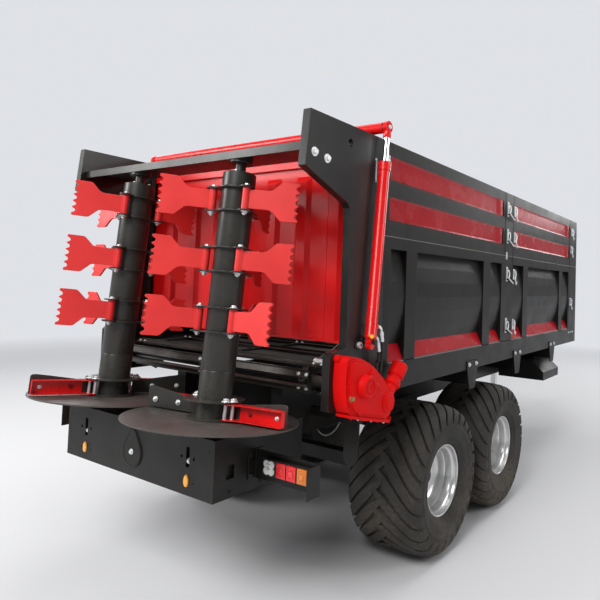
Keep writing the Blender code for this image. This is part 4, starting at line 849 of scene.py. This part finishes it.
for k in range(6):
    share = (k + 0.35) / 6
    bolt(gear, at(1, 1.048, share * 0.36 - 0.066, 1.049 - share * 0.086), (0, -0.23, -1), 0.01,
         k % 2)
for y, z, reach in ((-0.081, 1.33, 1.0), (0.325, 1.135, 1.01)):
    bar(gear, at(1, X0, y, z), at(1, reach, y, z), 0.02, 28)
    bolt(gear, at(1, reach, y, z), (1, 0, 0), 0.019)
bolt(gear, at(1, 1.057, -0.054, 1.141), (1, 0, 0), 0.02, 2)
for number in range(11):
    y, z = case[int(len(case) * (number + 0.4) / 11)]
    bolt(gear, at(1, X1 - 0.002, MID_Y + (y - MID_Y) * 0.93, MID_Z + (z - MID_Z) * 0.91),
         (1, 0, 0), 0.009)
motor_way = Vector((0, 0.66, 0.75)).normalized()
motor = along(at(1, X0 + 0.065, 0.262, 1.062), motor_way)
turned(gear, [(0.02, 0.0), (0.02, 0.034), (0.114, 0.034), (0.119, 0.043), (0.123, 0.046),
              (0.146, 0.046), (0.15, 0.043), (0.152, 0.037), (0.172, 0.037), (0.176, 0.045),
              (0.182, 0.0475), (0.25, 0.0475), (0.256, 0.045), (0.258, 0.03), (0.258, 0.0)], motor,
       40)
for turn in (45, 135, 225, 315):
    place = motor @ spun(turn, "Z")
    bar(gear, place @ Vector((0.035, 0, 0.15)), place @ Vector((0.035, 0, 0.178)), 0.0055, 10)
    bolt(gear, place @ Vector((0.033, 0, 0.2525)), motor_way, 0.008)
brass = paint("brass_plug", (0.34, 0.27, 0.11), 0.4, metal=0.8)
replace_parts(finished("floor_drive_gearbox", gear, [casting_red, zinc, brass], "spreader",
                     30, 0.0018), "floor_gearbox")

# Rear door: ribbed sheet in glossy red that slides up between its guides; the pipe across
# its top ends in the two cylinder eyes.
door_red = paint("door_red", (0.6, 0.0045, 0.005), 0.34, coat=0.05, dust=0.02, dust_top=0.8,
                 peel=0.14, shine=0.28)
refinish(door_red, "rear_door")
door_parts = bmesh.new()
LIFT_Y, LIFT_Z, LIFT_X = REAR + 0.245, 2.56, 1.02
for side in (-1, 1):
    bar(door_parts, (side * 0.95, LIFT_Y, LIFT_Z), (side * (LIFT_X + 0.0195), LIFT_Y, LIFT_Z),
        0.0118, 28, 1)
    bolt(door_parts, (side * (LIFT_X + 0.0155), LIFT_Y, LIFT_Z), (side, 0, 0), 0.008, 1)
    x = side * 0.5
    block(door_parts, (x - 0.03, REAR + 0.2053, 2.37), (x + 0.03, REAR + 0.215, 2.55))
    block(door_parts, (x - 0.03, REAR + 0.2053, 2.54), (x + 0.03, LIFT_Y, 2.55))
turned(door_parts, [(-0.995, 0.0), (-0.995, 0.028), (-0.993, 0.03), (0.993, 0.03), (0.995, 0.028),
                    (0.995, 0.0)], moved((0, LIFT_Y, LIFT_Z)) @ spun(90, "Y"), 40)
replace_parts(finished("door_lift_pipe", door_parts, [gloss_red, zinc], "door", 30,
                     0.0012), "lift_pipe")
RIVETS, RIVETS_X, RIVETS_Z = 8, 0.86, 1.3755
rivets = bmesh.new()
for k in range(RIVETS):
    x = 2 * RIVETS_X * k / (RIVETS - 1) - RIVETS_X
    bar(rivets, (x, REAR + 0.1775, RIVETS_Z), (x, REAR + 0.1795, RIVETS_Z), 0.0045, 10)
finished("door_edge_rivets", rivets, [gloss_red], "door", 38)

# Lift cylinders: red barrels pinned low on the side plates, polished chrome rods with
# forged red eyes, and plated elbows for the hoses on their feet.
chrome = paint("chrome", (0.78, 0.79, 0.8), 0.09, metal=1.0, dust=0.02, peel=0.0, shine=0.5)
yellow = paint("yellow_cap", (0.85, 0.5, 0.02), 0.35, dust=0.1)
hose_rubber = paint("hose_rubber", (0.012, 0.012, 0.012), 0.5, dust=0.4, peel=0.5)
PIN_Y, PIN_Z = 0.143, 1.4
BARREL_TOP, BORE_R, ROD_R = 0.965, 0.0168, 0.0158
for hand, side in SIDES:
    pin = at(side, LIFT_X, PIN_Y, PIN_Z)
    eye = Vector((side * LIFT_X, LIFT_Y, LIFT_Z))
    way = (eye - pin).normalized()
    stem = along(pin, way)
    barrel = bmesh.new()
    turned(barrel, [(0.012, 0.0), (0.012, 0.022), (0.02, 0.03), (0.026, 0.0335), (0.031, 0.0335),
                    (0.036, 0.031)] + [(BARREL_TOP + u, r)
               for u, r in ((-0.046, 0.031), (-0.045, 0.0356), (-0.03, 0.0356), (-0.028, 0.034),
                            (-0.025, 0.034), (-0.023, 0.0356), (0.0, 0.0356), (0.003, 0.033),
                            (0.003, BORE_R), (-0.05, BORE_R), (-0.05, 0.0))], stem, 44)
    for spot, half, radius, steps, finish in ((pin, 0.0158, 0.0225, 32, 0),
            (pin - way * 0.019, 0.015, 0.02, 32, 0), (pin, 0.0225, 0.0118, 24, 1)):
        bar(barrel, spot - Vector((half, 0, 0)), spot + Vector((half, 0, 0)), radius, steps, finish)
    top_port = pin + way * 0.078 + Vector((0, 0.022, 0))
    bar(barrel, top_port, top_port + Vector((0, 0.032, 0)), 0.0135, 20)
    bar(barrel, pin + way * 0.032 + Vector((side * 0.016, -0.016, 0)),
        pin + way * 0.032 + Vector((side * 0.027, -0.027, 0)), 0.0105, 16, 2)
    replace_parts(finished(f"{hand}_cylinder_barrel", barrel, [gloss_red, zinc, yellow],
                         f"{hand}_barrel"), f"{hand}_lift_barrel")
    rod = bmesh.new()
    length = (eye - pin).length
    turned(rod, [(0.09, 0.0), (0.09, ROD_R), (length - 0.05, ROD_R), (length - 0.05, 0.0)], stem,
           36)
    turned(rod, [(length - u, r) for u, r in ((0.06, 0.0), (0.06, 0.02), (0.055, 0.022),
                     (0.034, 0.0225), (0.022, 0.02), (0.022, 0.0))], stem, 36, 1)
    turned(rod, [(-0.0138, 0.0128), (-0.0138, 0.03), (-0.011, 0.0335), (0.011, 0.0335),
                 (0.0138, 0.03), (0.0138, 0.0128), (-0.0138, 0.0128)], moved(eye) @ spun(90, "Y"),
           36, 1)
    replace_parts(finished(f"{hand}_cylinder_rod", rod, [chrome, gloss_red], f"{hand}_rod"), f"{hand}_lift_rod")


def hose(shape, stops, radius, finish=0, steps=8, sides=14):
    """A hose or pipe swept along a smooth line through its stops."""
    stops = [Vector(stop) for stop in stops]
    ends = [stops[0] * 2 - stops[1]] + stops + [stops[-1] * 2 - stops[-2]]
    line = []
    for k in range(1, len(ends) - 2):
        a, b, c, d = ends[k - 1:k + 3]
        for step in range(steps):
            t = step / steps
            line.append(0.5 * ((2 * b) + (c - a) * t + (2 * a - 5 * b + 4 * c - d) * t * t
                            + (3 * b - a - 3 * c + d) * t ** 3))
    line.append(stops[-1])
    here = along(line[0], line[1] - line[0])
    ring = bmesh.ops.create_circle(shape, cap_ends=True, segments=sides, radius=radius,
            matrix=here)["verts"]
    edges = list({e for v in ring for e in v.link_edges})
    made = {f for v in ring for f in v.link_faces}
    for number in range(1, len(line)):
        way = line[min(number + 1, len(line) - 1)] - line[number - 1]
        swing = (here.to_3x3() @ UP).rotation_difference(way).to_matrix()
        after = moved(line[number]) @ (swing @ here.to_3x3()).to_4x4()
        grown = bmesh.ops.extrude_edge_only(shape, edges=edges)["geom"]
        ring = [v for v in grown if isinstance(v, bmesh.types.BMVert)]
        made |= {f for f in grown if isinstance(f, bmesh.types.BMFace)}
        edges = [e for e in grown if isinstance(e, bmesh.types.BMEdge)
                 and all(v in ring for v in e.verts)]
        bmesh.ops.transform(shape, matrix=after @ here.inverted(), verts=ring)
        here = after
    made |= set(bmesh.ops.contextual_create(shape, geom=edges)["faces"])
    for face in made:
        face.material_index = finish


def beside(start, side, steps):
    """Places near a start, each given as a step outward, forward and up."""
    return [start + Vector((side * x, y, z)) for x, y, z in steps]


# Cylinder feet: a round boss with a plated pin head on each plate and two hydraulic hoses.
# Each has a plated elbow and crimped ferrules, and its black rubber ends at the sill.

# A row: step up the rod and forward, the elbow's radius and stops, its collars, the hose's
# radius and first stops, its other stops on each side, and the last ferrule on the right.
HOSES = ((0.078, 0.052, 0.0078, [(0, 0, 0), (0, 0.014, 0), (0.004, 0.034, -0.012),
              (0.004, 0.04, -0.036)], [((0, -0.004, 0), (0, 0.01, 0), 0.0115, 6),
              ((0.004, 0.04, -0.03), (0.004, 0.044, -0.048), 0.0125, 6),
              ((0.004, 0.044, -0.048), (0.004, 0.052, -0.082), 0.011, 20)], 0.0088,
          [(0.004, 0.051, -0.078), (0.002, 0.055, -0.13)],
          {1: [(1.016, 0.262, 1.3), (1.012, 0.266, 1.252), (1.01, 0.266, 1.2)],
           -1: [(1.004, 0.266, 1.26), (0.985, 0.272, 1.14), (0.96, 0.285, 1.07),
                (0.92, 0.3, 1.05)]}, ((1.01, 0.266, 1.17), (1.011, 0.266, 1.235), 0.012)),
         (0.024, 0.026, 0.007, [(0, 0, 0), (0, 0.02, 0.002), (0.002, 0.04, -0.012),
              (0.002, 0.046, -0.032)], [((0.002, 0.046, -0.03), (0.002, 0.056, -0.08), 0.0105,
              20)], 0.0085, [(0.002, 0.055, -0.076), (0.0, 0.059, -0.128)],
          {1: [(1.01, 0.232, 1.29), (1.004, 0.236, 1.245), (1.002, 0.236, 1.195)],
           -1: [(0.995, 0.236, 1.24), (0.98, 0.242, 1.13), (0.955, 0.252, 1.065),
                (0.915, 0.265, 1.045)]}, ((1.002, 0.236, 1.19), (1.003, 0.236, 1.232), 0.0115)))
for hand, side in SIDES:
    feet = bmesh.new()
    for x0, x1, y, z, radius, steps, finish in ((0.9705, 0.975, 0.101, 1.385, 0.028, 32, 2),
            (0.974, 0.99, 0.105, 1.383, 0.0165, 28, 1), (0.989, 0.991, 0.105, 1.383, 0.005, 16, 2)):
        bar(feet, at(side, x0, y, z), at(side, x1, y, z), radius, steps, finish)
    pin = at(side, LIFT_X, PIN_Y, PIN_Z)
    way = (Vector((side * LIFT_X, LIFT_Y, LIFT_Z)) - pin).normalized()
    for up_rod, forward, pipe_r, elbow, collars, hose_r, start, tails, last in HOSES:
        port = pin + way * up_rod + Vector((0, forward, 0))
        hose(feet, beside(port, side, elbow), pipe_r, 1)
        for lo, hi, radius, steps in collars:
            bar(feet, *beside(port, side, (lo, hi)), radius, steps, 1)
        hose(feet, beside(port, side, start) + [at(side, *stop) for stop in tails[side]], hose_r)
        if side > 0:
            bar(feet, at(side, *last[0]), at(side, *last[1]), last[2], 6, 2)
    finished(f"{hand}_cylinder_hoses", feet, [hose_rubber, zinc, satin_black], "spreader",
             40)

# Lamp cable: a thin grey cable that hangs in a bow behind the door's edge, on a plated stub
# bolted to the right-hand side sheet.
cable = bmesh.new()
bar(cable, at(1, 0.828, -0.06, 1.303), at(1, 0.9245, -0.06, 1.303), 0.0125, 20)
bolt(cable, at(1, 0.828, -0.06, 1.303), (-1, 0, 0), 0.018)
hose(cable, [at(1, *stop) for stop in ((0.94, 0.06, 1.56), (0.936, 0.052, 1.49),
                 (0.932, 0.03, 1.428), (0.915, -0.01, 1.378), (0.88, -0.04, 1.345),
                 (0.845, -0.056, 1.318), (0.834, -0.06, 1.304))], 0.0036, 1, 6, 10)
cable_grey = paint("cable_grey", (0.075, 0.062, 0.045), 0.4)
finished("lamp_cable", cable, [zinc, cable_grey], "spreader", 40)

# Rear latches and keeper chains: one more drop hook holds the rear board to each side
# plate, and a short welded chain keeps the door pin.
keepers = bmesh.new()
for side in (-1, 1):
    block(keepers, at(side, FACE_X, 0.326, 2.378), at(side, 0.975, 0.352, 2.432))
    bolt(keepers, at(side, 0.975, 0.339, 2.42), (side, 0, 0), 0.009)
    bar(keepers, at(side, 0.98, 0.339, 2.405), at(side, 0.986, 0.336, 2.352), 0.0045, 10)
    turns = [tau * k / 10 for k in range(10)]
    for link in range(10):
        place = moved(at(side, 0.9745, 0.216, 2.372 - 0.012 * link)) @ spun(90 * (link % 2), "Z")
        round_bars(keepers, [place @ Vector((0, 0.0038 * cos(a), 0.0088 * sin(a))) for a in turns],
                   0.0013, 6)
    bolt(keepers, at(side, FACE_X, 0.216, 2.382), (side, 0, 0), 0.008)
finished("board_keepers", keepers, [zinc], "spreader", 45)

# Drive shaft, parking leg and its foot: turned and plated steel, with six splines at the
# front end of the shaft.
SHAFT_LINE_Z, SPLINES = 0.86, 6
rear, front = (corner.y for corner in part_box("driveline"))
line = bmesh.new()
turned(line, [(rear, 0.0), (rear, 0.03), (front - 0.102, 0.03), (front - 0.1, 0.0285),
              (front - 0.1, 0.015), (front - 0.002, 0.015), (front, 0.014), (front, 0.0)],
       moved((0, 0, SHAFT_LINE_Z)) @ spun(-90, "X"), 36)
for k in range(SPLINES):
    turn = moved((0, 0, SHAFT_LINE_Z)) @ spun(360 * k / SPLINES, "Y")
    block(line, (-0.004, front - 0.088, 0.014), (0.004, front - 0.001, 0.0174), 1, turn)
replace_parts(finished("drive_shaft", line, [worn_steel, zinc], "spreader"),
            "driveline")
refinish(zinc, "jack_leg")

# Studio: a pale floor that runs back out of sight, soft light from above and from behind
# the machine, and an even pale surrounding.
ground = bmesh.new()
bmesh.ops.create_grid(ground, x_segments=1, y_segments=1, size=60.0)
floor_mesh = bpy.data.meshes.new("studio_floor")
ground.to_mesh(floor_mesh)
ground.free()
floor_paint = bpy.data.materials.new("studio_floor")
floor_paint.use_nodes = True
tree = floor_paint.node_tree
near = tree.nodes["Principled BSDF"]
near.inputs["Base Color"].default_value = (0.66, 0.66, 0.67, 1.0)
near.inputs["Roughness"].default_value = 0.85
PALE, SEEN = (0.86, 0.88, 0.92, 1.0), 0.86
far_air = tree.nodes.new("ShaderNodeEmission")
far_air.inputs["Color"].default_value = PALE
far_air.inputs["Strength"].default_value = SEEN
reach = tree.nodes.new("ShaderNodeVectorMath")
reach.operation = "LENGTH"
tree.links.new(tree.nodes.new("ShaderNodeTexCoord").outputs["Object"], reach.inputs[0])
fade = tree.nodes.new("ShaderNodeMixShader")
for source, target in ((spread(tree, reach.outputs["Value"], 5.0, 13.0), fade.inputs[0]),
                       (near.outputs[0], fade.inputs[1]), (far_air.outputs[0], fade.inputs[2]),
                       (fade.outputs[0], tree.nodes["Material Output"].inputs["Surface"])):
    tree.links.new(source, target)
floor_mesh.materials.append(floor_paint)
studio_floor = bpy.data.objects.new("studio_floor", floor_mesh)
studio_floor.location.z = -0.0005
bpy.context.scene.collection.objects.link(studio_floor)

sky = bpy.data.worlds.new("studio_air")
sky.use_nodes = True
bpy.context.scene.world = sky
tree = sky.node_tree
tree.nodes["Background"].inputs["Color"].default_value = PALE
rays = tree.nodes.new("ShaderNodeLightPath").outputs["Is Camera Ray"]
tree.links.new(spread(tree, rays, 0.0, 1.0, 0.3, SEEN), tree.nodes["Background"].inputs["Strength"])
PANELS = (("key_panel", (1.5, -8.0, 6.0), (0.2, -1.8, 1.3), 3.0, 430.0),
          ("side_panel", (8.5, 1.5, 4.5), (0.9, 0.3, 1.4), 3.5, 230.0),
          ("rear_left_panel", (-5.0, -7.2, 4.4), (0.0, -3.0, 2.2), 2.6, 260.0),
          ("left_panel", (-7.5, -1.0, 5.0), (-0.5, 0.0, 1.4), 3.5, 170.0),
          ("front_panel", (1.5, 9.0, 5.0), (0.0, 2.0, 1.4), 3.5, 260.0),
          ("top_panel", (0.0, -0.5, 8.0), (0.0, -0.5, 1.0), 6.0, 300.0))
for label, spot, aim, size, power in PANELS:
    panel = bpy.data.lights.new(label, "AREA")
    panel.shape = "SQUARE"
    panel.size = size
    panel.energy = power
    holder = bpy.data.objects.new(label, panel)
    holder.matrix_world = along(spot, Vector(spot) - Vector(aim))
    bpy.context.scene.collection.objects.link(holder)

bpy.context.scene.view_settings.view_transform = "Standard"
